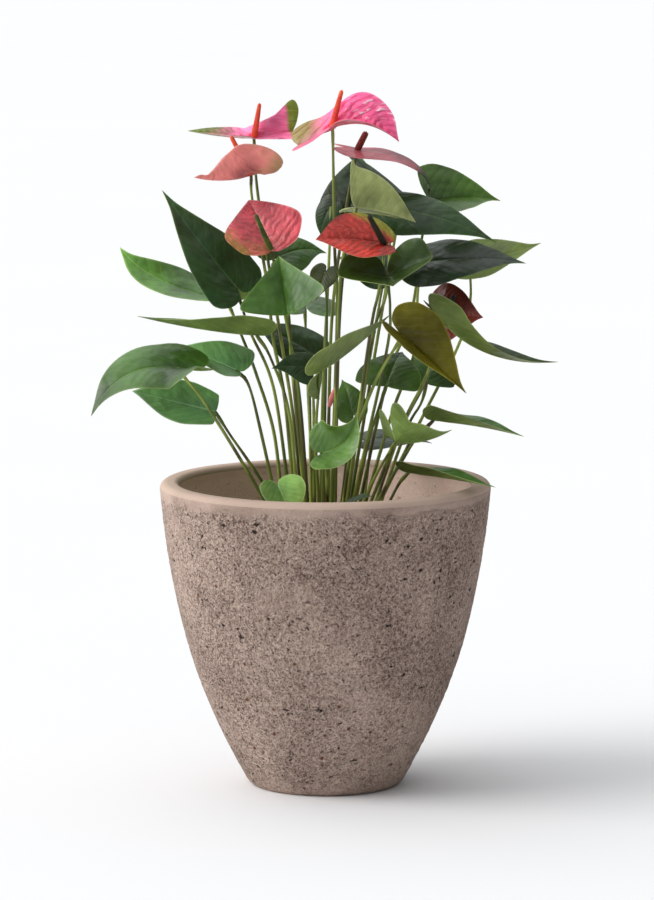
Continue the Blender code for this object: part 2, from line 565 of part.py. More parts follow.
def build_pot():
    lip_inner = RIM_RADIUS - LIP_WIDTH
    outer_lip = arc((RIM_RADIUS - LIP_OUTER_ROUND, POT_HEIGHT - LIP_OUTER_ROUND), LIP_OUTER_ROUND, 0, 90, 3)
    inner_lip = arc((lip_inner + LIP_INNER_ROUND, POT_HEIGHT - LIP_INNER_ROUND), LIP_INNER_ROUND, 90, 180, 3)
    inside = [(inner_radius(height), height) for height in reversed(CAVITY_LEVELS)]
    profile = [(0, 0), (FOOT_RADIUS, 0), FOOT_EDGE, *outer_profile(9)[:-1], *outer_lip, *inner_lip,
               *inside, (FLOOR_RADIUS, FLOOR_HEIGHT), (0, FLOOR_HEIGHT)]
    points, faces = turned_mesh(profile, POT_SIDES)
    return add_object("pot", points, faces, "stone")


def build_soil():
    """The soil fills the planter to a low mound, with a plain hole for the foot of each stalk."""
    low = FLOOR_HEIGHT + GAP
    across_flats = math.cos(math.pi / POT_SIDES)
    side = [(inner_radius(height) * across_flats - SOIL_CLEARANCE, height)
            for height in (*CAVITY_LEVELS, SOIL_HEIGHT)]
    mound = [(radius, SOIL_HEIGHT - drop) for radius, drop in MOUND]
    profile = [(0, low), (FLOOR_RADIUS * across_flats - SOIL_CLEARANCE, low), *side, *mound, (0, SOIL_HEIGHT)]
    points, faces = turned_mesh(profile, POT_SIDES)
    soil = add_object("soil", points, faces, "soil")
    holes = []
    stems = [(leaf.root, leaf.via, leaf.blade.joint) for leaf in LEAVES]
    stems += [(bloom.root, bloom.via, bloom.blade.joint) for bloom in BLOOMS]
    stems.append((BUD_ROOT, (), BUD_BASE))
    for root, via, end in stems:
        path = stalk_path(root, via, end)
        foot, above = path[0], path[1]
        lean = unit(above - foot)
        reach = [foot - lean * HOLE_CLEARANCE, foot + lean * (STALK_DEPTH + HOLE_REACH)]
        points, faces = tube_mesh(reach, [STALK_RADII[0] + HOLE_CLEARANCE] * 2, STALK_SIDES)
        holes.append(add_object("hole", points, faces, "soil"))
    return combine(soil, holes, "DIFFERENCE")


def build():
    clear_scene()
    build_pot()
    build_soil()
    for leaf in LEAVES:
        build_leaf(leaf)
    for bloom in BLOOMS:
        build_bloom(bloom)
    build_bud()


build()
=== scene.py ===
import math
from collections import namedtuple

import bmesh
import bpy
import numpy as np
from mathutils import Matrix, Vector, noise


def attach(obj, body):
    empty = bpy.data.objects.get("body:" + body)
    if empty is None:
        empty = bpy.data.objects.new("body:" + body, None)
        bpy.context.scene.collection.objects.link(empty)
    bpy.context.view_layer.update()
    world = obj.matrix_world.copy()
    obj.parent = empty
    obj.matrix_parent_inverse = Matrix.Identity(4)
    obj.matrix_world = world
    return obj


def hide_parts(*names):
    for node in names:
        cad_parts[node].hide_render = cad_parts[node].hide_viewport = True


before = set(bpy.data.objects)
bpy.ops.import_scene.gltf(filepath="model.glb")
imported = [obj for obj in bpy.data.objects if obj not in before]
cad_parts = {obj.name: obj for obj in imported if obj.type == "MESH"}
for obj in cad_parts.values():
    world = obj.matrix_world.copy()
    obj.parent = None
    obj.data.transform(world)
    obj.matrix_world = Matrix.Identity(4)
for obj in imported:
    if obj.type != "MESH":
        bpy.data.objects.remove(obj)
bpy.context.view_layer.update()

# Potted anthurium: the looks of the stone planter, its soil, the leaves and the blooms.
# Shapes are worked out in millimetres, and MM turns them into metres when a mesh is made.

MM = 0.001
SCENE = bpy.context.scene

# Planter: rim and lip, outer foot and side, wall and floor
POT_HEIGHT = 261.0
RIM_RADIUS = 141.0
LIP_WIDTH = 16.5
LIP_OUTER_ROUND = 6.0
LIP_INNER_ROUND = 5.0
FOOT_RADIUS = 61.0
FOOT_TURN = (70.0, 9.0)
BELLY_LOW = (115.0, 90.0)
BELLY_HIGH = (131.0, 156.0)
WALL_THICKNESS = 15.0
FLOOR_HEIGHT = 20.0
FLOOR_RADIUS = 58.0

# Soil: its top, how far a stalk goes into it, and the room below it and beside it
SOIL_HEIGHT = 212.0
STALK_DEPTH = 14.0
SOIL_GAP = 0.3
SOIL_SLACK = 1.0

# Leaves, spathes and stalks
BLADE_THICKNESS = 0.8
SPATHE_THICKNESS = 0.9
STALK_RADII = (1.65, 1.25)
SPATHE_BOSS = 2.8

# How high a blade's margin waves, as a share of its length, how much of that its finer ruffle has,
# and how many radians each of them runs through along the blade
MARGIN_WAVE = 0.012
RUFFLE = 0.35
WAVE_TURN = 7.0
RUFFLE_TURN = 19.0

# Half outlines from the tip to the stalk's notch: distance along the midrib from the joint, as a
# share of the blade's length, and distance from the midrib, as a share of the half width
HEART_OUTLINE = [(1.0, 0.0), (0.85, 0.14), (0.64, 0.47), (0.38, 0.84), (0.11, 1.0), (-0.15, 0.88),
                 (-0.28, 0.50), (-0.22, 0.13), (-0.05, 0.0)]
WEDGE_OUTLINE = [(1.0, 0.0), (0.80, 0.20), (0.56, 0.47), (0.30, 0.76), (0.04, 1.0), (-0.10, 0.93),
                 (-0.14, 0.52), (-0.11, 0.15), (-0.04, 0.0)]
SPATHE_OUTLINE = [(1.0, 0.0), (0.87, 0.13), (0.69, 0.40), (0.46, 0.75), (0.20, 0.98), (-0.04, 0.97),
                  (-0.21, 0.76), (-0.29, 0.42), (-0.22, 0.13), (-0.07, 0.0)]
FLARED_OUTLINE = [(1.0, 0.0), (0.86, 0.16), (0.70, 0.38), (0.50, 0.60), (0.24, 0.78), (-0.03, 0.88),
                  (-0.22, 1.0), (-0.29, 0.74), (-0.26, 0.24), (-0.07, 0.0)]
SADDLE_OUTLINE = [(1.0, 0.0), (0.88, 0.16), (0.70, 0.36), (0.47, 0.54), (0.22, 0.60), (0.02, 0.50),
                  (-0.14, 0.60), (-0.26, 1.0), (-0.31, 0.72), (-0.30, 0.30), (-0.27, 0.0)]
PINCHED_OUTLINE = [(1.0, 0.0), (0.91, 0.18), (0.76, 0.55), (0.55, 0.88), (0.36, 1.0), (0.14, 0.66),
                   (-0.03, 0.50), (-0.16, 0.62), (-0.26, 0.56), (-0.28, 0.28), (-0.25, 0.0)]
HOODED_OUTLINE = [(1.0, 0.0), (0.90, 0.12), (0.78, 0.14), (0.62, 0.42), (0.42, 0.78), (0.20, 1.0),
                  (-0.04, 1.0), (-0.22, 0.80), (-0.29, 0.45), (-0.22, 0.13), (-0.07, 0.0)]
OVAL_OUTLINE = [(1.0, 0.0), (0.90, 0.22), (0.74, 0.62), (0.56, 0.92), (0.36, 1.0), (0.14, 0.86),
                (-0.06, 0.62), (-0.16, 0.40), (-0.16, 0.14), (-0.05, 0.0)]
KITE_OUTLINE = [(1.0, 0.0), (0.88, 0.20), (0.68, 0.55), (0.48, 0.88), (0.32, 1.0), (0.14, 0.88),
                (-0.02, 0.66), (-0.12, 0.40), (-0.14, 0.14), (-0.05, 0.0)]
LOBE_BLEND = 0.12

# A blade hangs from its joint and ends in its tip. bend moves the midrib's middle off the straight
# line, face is the way its upper side looks at the joint, fold lifts the left and right half and
# cup adds to that towards the margin, all in degrees, as are twist, from joint to tip, and
# lobes, which lifts the two lobes behind the joint. lobe_length stretches them, and lobe_fold is
# their own fold where it isn't the blade's.
Blade = namedtuple("Blade", "joint tip bend face width fold cup twist lobes lobe_length lobe_fold outline",
                   defaults=((8, 8), -10, 0, 0, 1.0, None, HEART_OUTLINE))
Leaf = namedtuple("Leaf", "name shade blade root via", defaults=((),))
Bloom = namedtuple("Bloom", "name colours blade spadix_top spadix_radius root via outline",
                   defaults=((), SPATHE_OUTLINE))

LEAVES = [
    # The tall crown, left of the middle
    Leaf("leaf_left_tall", "deep",
         Blade((-76, 2, 426), (-139, 22, 507), (0, -3, -2), (0.5, -0.66, 0.45), 68, (14, 14), -10, 0, 0, 0.4),
         (-27, 6), [(-64, 8, 388), (-43, 4, 335)]),
    Leaf("leaf_left_upper", "mid",
         Blade((-84, 30, 412), (-176, 48, 456), (-13, -6, -4), (0, 0.15, 1), 68, (0, 20), -5, -48, 0,
               0.6, (45, 10)),
         (-35, 6), [(-73, 24, 386), (-59, 18, 350), (-43, 9, 296)]),
    Leaf("leaf_left_level", "mid",
         Blade((-58, -24, 388), (-157, -52, 407), (0, 0, -2), (0, 0, 1), 50, (50, 10), -6, -25, 0, 0.5),
         (-22, -16), [(-46, -22, 368), (-30, -20, 317)]),
    Leaf("leaf_centre_large", "mid",
         Blade((-31, -70, 412), (-39, -34, 456), (0, 0, 0), (0.22, -0.71, 0.67), 84, (10, 62), -4, 0, 0,
               0.6, None, WEDGE_OUTLINE),
         (-14, -27), [(-29, -52, 388), (-28, -38, 361)]),
    Leaf("leaf_crown_back", "mid",
         Blade((-40, 38, 448), (1, 66, 449), (0, 0, 5), (0, -0.7, 0.7), 46),
         (-14, 19), [(-28, 30, 360)]),
    Leaf("leaf_crown_small", "olive",
         Blade((0, -12, 440), (-8, -22, 416), (0, 0, 2), (-0.3, -0.8, 0.3), 26),
         (-3, 2), [(1, -6, 390)]),
    # Behind the upper stems
    Leaf("leaf_back_upright", "deep",
         Blade((21, 50, 484), (30, 80, 535), (0, 0, 4), (-0.3, -0.85, 0.4), 58),
         (8, 30), [(12, 44, 390)]),
    Leaf("leaf_back_lobe", "deep",
         Blade((5, 45, 491), (-3, 50, 464), (-3, 0, 0), (-0.5, -0.8, 0.2), 24),
         (-5, 23), [(2, 38, 420), (-2, 31, 336)]),
    Leaf("leaf_right_long", "deep",
         Blade((56, 5, 493), (144, -20, 466), (0, 0, 5), (0.15, -0.75, 0.66), 48, (2, 0), -12, 0, 0, 0.6),
         (14, -3), [(52, 0, 424), (42, -8, 394), (33, -21, 345)]),
    Leaf("leaf_right_edge", "deep",
         Blade((65, 42, 494), (13, 60, 539), (0, 0, 2), (0.55, -0.35, 0.75), 40),
         (17, 25), [(50, 40, 410)]),
    Leaf("leaf_top_right", "mid",
         Blade((93, 60, 494), (151, 80, 493), (0, 0, 3), (0, -0.35, 0.93), 76, (36, 14), -6, 0, 0, 0.3),
         (24, 16), [(83, 56, 464), (79, 54, 428), (71, 52, 388), (52, 42, 338)]),
    Leaf("leaf_pale_front", "pale",
         Blade((26, -44, 497), (76, -32, 484), (0, 0, 2), (-0.31, 0.86, -0.39), 84, (108, 0), -4, 0, 0,
               0.35, None, FLARED_OUTLINE),
         (5, -7), [(15, -36, 456), (11, -28, 400)]),
    Leaf("leaf_far_right", "mid",
         Blade((124, 75, 443), (187, 98, 455), (0, 0, -3), (0, 0.75, 0.66), 52),
         (33, 19), [(125, 70, 407), (115, 64, 370), (82, 48, 306)]),
    Leaf("leaf_right_dark", "deep",
         Blade((87, 15, 446), (170, 5, 446), (0, 0, 4), (0.03, -0.5, 0.87), 62, (8, 4)),
         (26, 9), [(79, 17, 424), (76, 24, 368), (57, 20, 316)]),
    Leaf("leaf_cupped_front", "mid",
         Blade((51, -60, 442), (56, -90, 436), (0, 0, -1), (0, 0, 1), 84, (26, 4), 0, 0, 50, 2.0, (38, 10)),
         (16, -11), [(54, -60, 414), (50, -46, 370)]),
    Leaf("leaf_young_bronze", "bronze",
         Blade((64, -85, 394), (117, -95, 347), (0, 0, 0), (0.47, -0.71, 0.52), 64, (45, 45), -8),
         (11, -31), [(44, -72, 359), (30, -58, 322), (21, -46, 290)]),
    Leaf("leaf_right_twisted", "mid",
         Blade((101, -38, 398), (195, -48, 368), (-6, 0, -10), (0, 0.1, 1), 46, (10, 60), -6, 60),
         (26, -7), [(83, -22, 348), (66, -14, 312)]),
    Leaf("leaf_right_low", "mid",
         Blade((92, -4, 313), (168, -18, 301), (0, 0, 2), (0, 0, 1), 46, (15, 48), -10, 30, 0, 0.4),
         (29, -17), [(78, -6, 299), (65, -10, 279), (46, -14, 248)]),
    Leaf("leaf_right_rim", "mid",
         Blade((70, -45, 274), (142, -76, 266), (0, 0, 1), (0, 0, 1), 42, (15, 46), -10, 30, 0, 0.4),
         (38, -30), [(60, -39, 260)]),
    Leaf("leaf_right_cupped", "mid",
         Blade((59, -76, 304), (106, -58, 312), (0, 0, -4), (-0.1, 0, 1), 60, (10, 40), 0, 0, 62, 1.8),
         (22, -25), [(54, -66, 295), (39, -44, 264)]),
    Leaf("leaf_right_under", "deep",
         Blade((40, 82, 285), (93, 95, 280), (0, 0, 3), (0, -0.25, 0.97), 44),
         (30, 32), []),
    Leaf("leaf_right_inner", "mid",
         Blade((52, -14, 345), (66, 26, 368), (0, 0, 4), (-0.1, -0.8, 0.6), 56, (8, 8), -10, 0, 0, 0.3),
         (19, 1), [(44, -8, 320), (36, -4, 292)]),
    Leaf("leaf_right_behind", "mid",
         Blade((87, 36, 341), (97, 72, 363), (0, 0, 4), (0, -0.7, 0.7), 48, (8, 8), -10, 0, 0, 0.3),
         (38, 11), [(82, 32, 323), (68, 24, 298)]),
    # Among the stems
    Leaf("leaf_stem_back", "deep",
         Blade((-14, 58, 364), (-63, 74, 386), (0, 0, 3), (-0.1, -0.55, 0.8), 46),
         (-12, 29), []),
    Leaf("leaf_stem_dark", "deep",
         Blade((-13, -54, 363), (-45, -60, 364), (0, 0, 2), (0, -0.7, 0.7), 34, (8, 8), -10, 0, 0, 0.4),
         (-9, -8), [(-10, -45, 338)]),
    Leaf("leaf_stem_long", "mid",
         Blade((-4, -90, 365), (55, -52, 409), (0, 0, -3), (-0.3, 0.6, 0.75), 54, (35, 15), -5, 0, 0,
               0.7, (-25, 15)),
         (-3, -31), [(-8, -67, 303)]),
    Leaf("leaf_front_rim", "bright",
         Blade((-39, -85, 267), (-25, -93, 237), (0, -2, 0), (0.1, -0.85, 0.5), 44, (10, 40), -6, 0, 0, 0.8),
         (-26, -41), []),
    Leaf("leaf_front_heart", "mid",
         Blade((1, -94, 298), (26, -107, 333), (5, 0, -5), (0.2, -0.9, 0.4), 54, (6, 52), -4),
         (2, -43), []),
    Leaf("leaf_front_low", "deep",
         Blade((12, -80, 250), (40, -100, 262), (0, 0, 2), (0, -0.3, 0.95), 30),
         (13, -44), []),
    Leaf("leaf_stem_upright", "mid",
         Blade((23, 10, 319), (14, 30, 344), (0, 0, 2), (-0.2, -0.8, 0.5), 28),
         (11, 9), []),
    # The low left side
    Leaf("leaf_left_drooping", "mid",
         Blade((-124, -60, 364), (-195, -78, 326), (-7, 0, 14), (-0.1, -0.55, 0.8), 70, (20, 6), -14, 0, 0,
               1.2, (60, 12)),
         (-33, -29), [(-100, -50, 332), (-62, -38, 268)]),
    Leaf("leaf_left_middle", "mid",
         Blade((-76, -15, 357), (-130, 0, 375), (0, 0, 2), (0, -0.4, 0.9), 60, (30, 18), -8, 0, 0, 0.5),
         (-35, -11), [(-65, -16, 345), (-54, -16, 302)]),
    Leaf("leaf_left_flat", "mid",
         Blade((-93, -24, 323), (-163, -28, 341), (0, 0, 0), (0.1, -0.85, 0.5), 45, (28, 4), -8, 0, 0, 0.1,
               None, OVAL_OUTLINE),
         (-30, -20), [(-81, -24, 304), (-52, -22, 260)]),
    # The back
    Leaf("leaf_rear_left", "mid",
         Blade((-18, 100, 400), (-35, 170, 395), (0, 0, 8), (0, 0.3, 0.95), 64),
         (-8, 38), [(-14, 66, 310)]),
    Leaf("leaf_rear_right", "deep",
         Blade((52, 102, 430), (10, 128, 438), (0, 0, 6), (0, -0.6, 0.8), 50),
         (15, 44), [(34, 78, 330)]),
]

BLOOMS = [
    Bloom("bloom_left_top", ("pink", "orange"),
          Blade((-61, 50, 549), (-117, 40, 556), (0, 0, -1), (0, 0, 1), 58, (8, 26), 0, 0, 12, 2.2, (-8, 70)),
          (-56, 50, 579), (3.0, 1.7), (-17, 9), [(-57, 40, 497), (-38, 18, 381), (-27, 10, 311)],
          SADDLE_OUTLINE),
    Bloom("bloom_top", ("pink", "orange"),
          Blade((6, 0, 561), (62, -10, 550), (0, 0, 9), (0, -0.45, 0.9), 64, (32, 40), -5, 0, -4,
                2.3, (22, 24)),
          (14, 0, 593), (3.0, 1.8), (4, 11), [(8, 5, 457), (10, 8, 400)], PINCHED_OUTLINE),
    Bloom("bloom_right_top", ("mauve", "red"),
          Blade((27, 30, 540), (88, 35, 500), (18, 0, 9), (0, -0.05, 1), 44, (0, -12), 0, 0, 12, 1.0),
          (35, 30, 556), (3.0, 2.6), (2, 21), [(17, 28, 486), (5, 20, 388)]),
    Bloom("bloom_left_hooded", ("salmon", "orange"),
          Blade((-63, 14, 520), (-111, 4, 519), (0, 0, -3), (0, 0.2, 0.98), 60, (60, 58), 0, 0, -16, 2.1),
          (-80, 18, 553), (2.8, 1.8), (-24, -5),
          [(-62, 28, 497), (-50, 22, 430), (-44, 8, 379), (-34, -2, 327)], HOODED_OUTLINE),
    Bloom("bloom_left_open", ("rose", "green"),
          Blade((-46, -22, 461), (-65, 14, 499), (0, 0, 3), (-0.1, -0.62, 0.76), 68, (10, 12), -4, 0, 0, 0.6),
          (-58, -49, 492), (2.5, 1.6), (-13, -14), [(-41, -12, 438), (-29, -11, 377), (-21, -14, 326)],
          KITE_OUTLINE),
    Bloom("bloom_centre_red", ("red", "dark"),
          Blade((49, -62, 469), (-8, -72, 473), (0, 0, 2), (0, -0.7, 0.7), 58, (25, 6), -4, 0, 0, 0.9),
          (36, -82, 494), (2.8, 2.0), (13, -20), [(48, -34, 444), (44, -30, 421), (37, -29, 385)],
          OVAL_OUTLINE),
    Bloom("bloom_right_maroon", ("maroon", "dark"),
          Blade((98, 15, 400), (134, 5, 400), (0, 0, 1), (0.1, -0.8, 0.6), 60, (12, 5), 0, 0, 0, 1.0, (4, 4)),
          (110, 2, 419), (2.6, 2.0), (33, 3), [(94, 24, 372), (84, 24, 340), (64, 18, 300)]),
]

# The rolled bud: how thick its base is and how much it bulges above that, as shares of its radius,
# how much of that its tip loses, how often its roll winds round it and how high the roll stands
BUD_ROOT = (-2, -17)
BUD_BASE = (3, -15, 326)
BUD_TIP = (9, -15, 345)
BUD_RADIUS = 2.3
BUD_FOOT, BUD_BULGE, BUD_TAPER = 0.45, 0.6, 0.8
BUD_WINDING, BUD_ROLL = 0.8, 0.16

# Fine shape of the pieces: how many points, rings or sides each has and how far apart they are, and
# from how many degrees on an edge is shown sharp
OUTLINE_STEP = 0.01
LEAF_GRID = (44, 15)
SPATHE_GRID = (64, 26)
STALK_ROUND = 10
STALK_PITCH = 5.0
SPADIX_ROUND = 15
SPADIX_STEPS = 60
BUD_GRID = (28, 24)
POT_ROUND = 400
POT_PITCH = 2.2
SOIL_ROUND = 120
GROUND_GRID = (26, 64)
CRUMBS_PER_M2 = 60000.0
SHARP_ANGLE = 60

# Fine forms of the blades: how high the skin swells between a leaf's side veins, how many creases a
# spathe has, how they slant and how high they stand for each metre that its skin puckers, how wide
# and deep the midrib's groove is, how much thinner the margin gets, and how far from the joint the
# blade stays plain
LEAF_SWELL = 0.05
SPATHE_CREASES = 9.0
SPATHE_SLANT = 0.42
CREASE_HEIGHT = 350
VEIN_CURVE = 1.25
MIDRIB_WIDTH = 1.4
MIDRIB_DEPTH = 0.5
MARGIN_THINNING = 0.55
JOINT_CLEAR = 8.0

# Fine forms of the stalks: how much thicker the joint and the foot are, how much thinner the neck
# below the joint is, how far the middle of each is from the stalk's end, and how long it is
LEAF_JOINT_SWELLING = 0.55
BLOOM_JOINT_SWELLING = 0.25
JOINT_PLACE, JOINT_LENGTH = 7, 6
NECK_THINNING, NECK_PLACE, NECK_LENGTH = 0.14, 24, 14
FOOT_SWELLING, FOOT_LENGTH = 0.3, 12

# Fine forms of the spadices: a floret's radius, how far apart the rows are and how much the florets
# overlap, in such radii, the length of the blunt end, the waist at the base, and the bow as a share
# of the length
FLORET = 0.52
FLORET_ROWS = 1.75
FLORET_OVERLAP = 1.08
BLUNT_END = 2.2
WAIST_THINNING, WAIST_LENGTH = 0.12, 2.5
SPADIX_BOW = 0.02

# Fine forms of the soil: how high it mounds up and how wide, how far below its top the crumbs' ground
# lies, from what radius and how far from the wall, and a crumb's radius
MOUND = 1.5
MOUND_RADIUS = 118.0
GROUND_SUNK = 0.4
GROUND_START = 2.0
GROUND_MARGIN = 4.0
CRUMB = 1.9

# Fine forms of the planter: the round of its foot, how much of its lip has the lip's own skin, and
# how rough its inner side is beside its outer side
FOOT_ROUND = [(63.5, 0.5), (66.5, 3.0), (68.6, 6.0)]
LIP_SHOWN = 4.5
INNER_ROUGH = 0.12
# The smooth bands under its lip and at its foot: how wide, over what height they fade, and how rough
# they still are
LIP_BAND, LIP_FADE, LIP_ROUGH = 9.0, 12.0, 0.12
FOOT_BAND, FOOT_FADE, FOOT_ROUGH = 2.0, 14.0, 0.2
# Its relief: waves a millimetre and height of each grain, then of the slow sway, which fades towards
# the foot, waves a millimetre of its worn patches, and the height of the whole
RELIEF_GRAINS = ((0.18, 0.4), (0.40, 0.5))
SWAY_WAVES, SWAY_HEIGHT, SWAY_FADE = 0.012, 0.25, 30.0
WORN_WAVES = 0.016
RELIEF_HEIGHT = 0.8
# Its pits: cells a millimetre, one pit at most in each, how far a pit reaches, in cells, what a
# cell's draw between -1 and 1 has to pass, the scale of those draws, and the depth
PIT_CELLS, PIT_REACH, PIT_DRAW, PIT_DRAW_SCALE, PIT_DEPTH = 0.062, 0.16, 0.35, 3.7, 1.6


def tone(red, green, blue):
    """The linear colour of the 0 to 255 values that a screen shows."""
    values = [value / 255 for value in (red, green, blue)]
    linear = [value / 12.92 if value <= 0.04045 else ((value + 0.055) / 1.055) ** 2.4 for value in values]
    return (*linear, 1.0)


# One side of a blade: how many side veins it has, their slant and width, how strong its veins show
# and how far they wander, how high it quilts and puckers, in metres, the weight of its wax, and how
# much of the leaf's tint it takes
Side = namedtuple("Side", "side_veins slant width strength wander quilt pucker coat tinted", defaults=(0.0,))
LEAF_TOP = Side(7.0, 0.5, 0.06, 0.34, 0.12, 0.00014, 0.0, 0.25, 1.0)
LEAF_UNDER = Side(7.0, 0.5, 0.10, 0.45, 0.12, 0.00012, 0.0, 0.0, 0.4)
SPATHE_TOP = Side(8.0, SPATHE_SLANT, 0.12, 0.45, 0.22, 0.0, 0.0, 0.35)
SPATHE_UNDER = Side(8.0, SPATHE_SLANT, 0.14, 0.4, 0.25, 0.0003, 0.0004, 0.1)
BUD_SIDE = Side(4.0, 0.2, 0.1, 0.2, 0.1, 0.0, 0.0, 0.2)

# Face, shade and vein colours of a leaf's upper side, then of its under side
LEAF_FINISHES = {
    "deep": ((30, 58, 20), (14, 30, 12), (70, 100, 48), (66, 86, 38), (42, 60, 24), (124, 142, 82)),
    "mid": ((60, 98, 26), (30, 62, 18), (104, 136, 58), (112, 132, 64), (80, 104, 44), (150, 166, 98)),
    "bright": ((104, 146, 36), (60, 108, 26), (150, 176, 74), (124, 148, 74), (96, 124, 52), (170, 188, 116)),
    "pale": ((66, 96, 30), (40, 68, 20), (110, 136, 60), (168, 176, 112), (122, 138, 78), (190, 196, 138)),
    "olive": ((64, 80, 20), (40, 56, 14), (104, 120, 48), (88, 104, 36), (62, 80, 24), (126, 140, 66)),
    "bronze": ((98, 96, 6), (52, 50, 2), (140, 132, 30), (112, 106, 16), (74, 70, 8), (150, 142, 50)),
}

# The colour that a spathe blushes to, how that grows with the share along it and the reach across
# it, where it starts, and how strong it is over the rear margin
Blush = namedtuple("Blush", "colour along across start rear")
# Face, shade and vein colours of a spathe's upper side, then of its under side, its blush, and how
# high its upper side quilts and puckers, in metres
SpatheFinish = namedtuple("SpatheFinish", "top under blush pucker")
BLOOM_FINISHES = {
    "bloom_left_top": SpatheFinish(
        [(255, 122, 172), (246, 96, 150), (255, 170, 196)],
        [(248, 144, 162), (226, 130, 120), (246, 170, 170)],
        Blush((112, 138, 16), 1.3, 0.5, -0.46, 1.5), 0.0007),
    "bloom_top": SpatheFinish(
        [(250, 94, 150), (234, 66, 124), (252, 150, 184)],
        [(230, 110, 130), (200, 90, 100), (244, 150, 160)],
        Blush((140, 122, 34), -3.0, -0.9, -0.3, 0.0), 0.001),
    "bloom_right_top": SpatheFinish(
        [(190, 88, 102), (140, 58, 66), (214, 136, 142)],
        [(178, 90, 98), (120, 66, 60), (200, 130, 126)],
        Blush((44, 52, 26), 3.0, 0.0, -1.5, 0.0), 0.0003),
    "bloom_left_hooded": SpatheFinish(
        [(220, 116, 112), (186, 84, 84), (236, 160, 150)],
        [(250, 146, 138), (222, 104, 104), (250, 180, 168)],
        Blush((206, 170, 116), -1.5, 0.0, -0.05, 0.0), 0.0004),
    "bloom_left_open": SpatheFinish(
        [(228, 76, 94), (104, 30, 24), (248, 158, 154)],
        [(200, 100, 90), (150, 110, 60), (220, 150, 120)],
        Blush((132, 118, 34), -0.9, -0.6, 0.0, 0.0), 0.0006),
    "bloom_centre_red": SpatheFinish(
        [(196, 52, 40), (130, 32, 24), (110, 38, 24)],
        [(180, 80, 66), (140, 110, 40), (200, 130, 90)],
        Blush((140, 142, 40), -2.6, 1.9, -0.45, 0.0), 0.0006),
    "bloom_right_maroon": SpatheFinish(
        [(120, 44, 34), (78, 26, 20), (150, 74, 56)],
        [(110, 54, 40), (70, 42, 24), (140, 80, 60)],
        Blush((60, 62, 34), -1.2, 0.0, -0.1, 0.0), 0.0003),
}
BUD_FINISH = [(250, 132, 140), (214, 96, 104), (250, 180, 168)]
SPADIX_FINISHES = {
    "orange": ((255, 118, 62), (240, 74, 62)),
    "red": ((150, 46, 26), (104, 28, 20)),
    "green": ((96, 116, 36), (60, 84, 24)),
    "dark": ((46, 44, 14), (22, 24, 10)),
}

# What the colour of some leaves is multiplied by, and which leaves those are. The sheen tints make a
# leaf lighter and bluer: painted sheen, the grey reflection of the light on it. The shaded tint is
# painted shade.
LEAF_TINTS = {
    "silvery": (3.0, 2.5, 8.0),
    "greyed": (2.0, 1.9, 2.6),
    "misty": (1.6, 1.4, 1.6),
    "cool": (1.25, 1.25, 1.6),
    "plain": (1.0, 1.0, 1.0),
    "fresh": (0.9, 1.1, 0.55),
    "warm": (0.85, 0.8, 0.5),
    "shaded": (0.7, 0.55, 0.75),
    "dark": (0.5, 0.6, 0.4),
}
TINTED_LEAVES = {
    "silvery": "left_middle left_flat front_rim",
    "greyed": "left_tall left_upper",
    "misty": "back_lobe front_heart stem_back stem_upright",
    "cool": "left_level right_cupped right_low right_rim",
    "fresh": "back_upright crown_back right_long right_edge",
    "warm": "crown_small far_right right_inner top_right young_bronze",
    "shaded": "cupped_front right_twisted stem_long",
    "dark": "right_dark right_under",
}
TINT_OF_LEAF = {"leaf_" + leaf: tint for tint, leaves in TINTED_LEAVES.items() for leaf in leaves.split()}

# The scale of a pattern is how many waves or cells it has to a metre, or along the blade's own map.
# Skin of the blades: the scales of its patches, mottling, clouds, waves and swaying veins, how far
# its clouds darken and brighten it, how rough its shaded and its lit patches are, how much of the
# blush shows, how high its waves and mottling and how deep its veins are, in metres, and how many
# puckers there are along and across.
PATCH_SCALE, MOTTLE_SCALE, CLOUD_SCALE, WAVE_SCALE, SWAY_SCALE = 24.0, 900.0, 17.0, 42.0, 4.0
CLOUD_DEPTH = (0.58, 1.65)
SKIN_ROUGHNESS = (0.24, 0.44)
BLUSH_DEPTH = 0.96
UNDULATION = 0.0050
MOTTLE_HEIGHT = 0.00004
VEIN_DEPTH = 0.0002
PUCKERS_ALONG, PUCKERS_ACROSS = 13.0, 7.0
# The colour of the painted highlights on top of a spathe's puckers
PAINTED_GLEAM = tone(255, 232, 240)
# A side that puckers more than the first, in metres, is darker along its side veins, partly their own
# colour and partly painted shade in the grooves, and one that puckers more than the second also gets
# a painted highlight on top of each pucker.
DEEP_PUCKER, HIGHLIGHT_PUCKER = 0.0005, 0.0009

# Skin of the stalks: the scales of its streaks, its pale and its brown lengths, how much they are
# drawn out, and the heights, in metres, between which the brown of the foot ends
STREAK_SCALE, PALE_SCALE, BROWN_SCALE = 420.0, 60.0, 95.0
DRAWN_OUT = (1.0, 1.0, 0.06)
STALK_BROWNS = (0.21, 0.34)

# Skin of the spadices and of the soil
DOT_SCALE, BLOTCH_SCALE = 1100.0, 90.0
CLOD_SCALE, CHIP_SCALE = 220.0, 620.0

# Skin of the planter: the heights, in metres, between which it turns from smooth to rough at its
# foot and back under its lip, the scale and the width of that last border, the scales of its shades,
# worn patches, sand, lumps, small hollows, pits and rust spots, how much its pits are flattened, how
# far its grit stands out in colour, and between which draws its pits begin to show
FOOT_SMOOTH = (0.004, 0.016)
LIP_SMOOTH = (0.2465, 0.2520)
LIP_EDGE_SCALE, LIP_RAGGED = 60.0, 0.018
SHADE_SCALE, WORN_SCALE = 13.0, 11.0
SAND_SCALE, LUMP_SCALE, HOLLOW_SCALE, PIT_SCALE, RUST_SCALE = 560.0, 250.0, 430.0, 72.0, 95.0
FLATTENED = (1.0, 1.0, 1.9)
GRIT_CONTRAST = 3.2
PITS_SHOW = (0.58, 0.62)
RUST = tone(112, 66, 44)


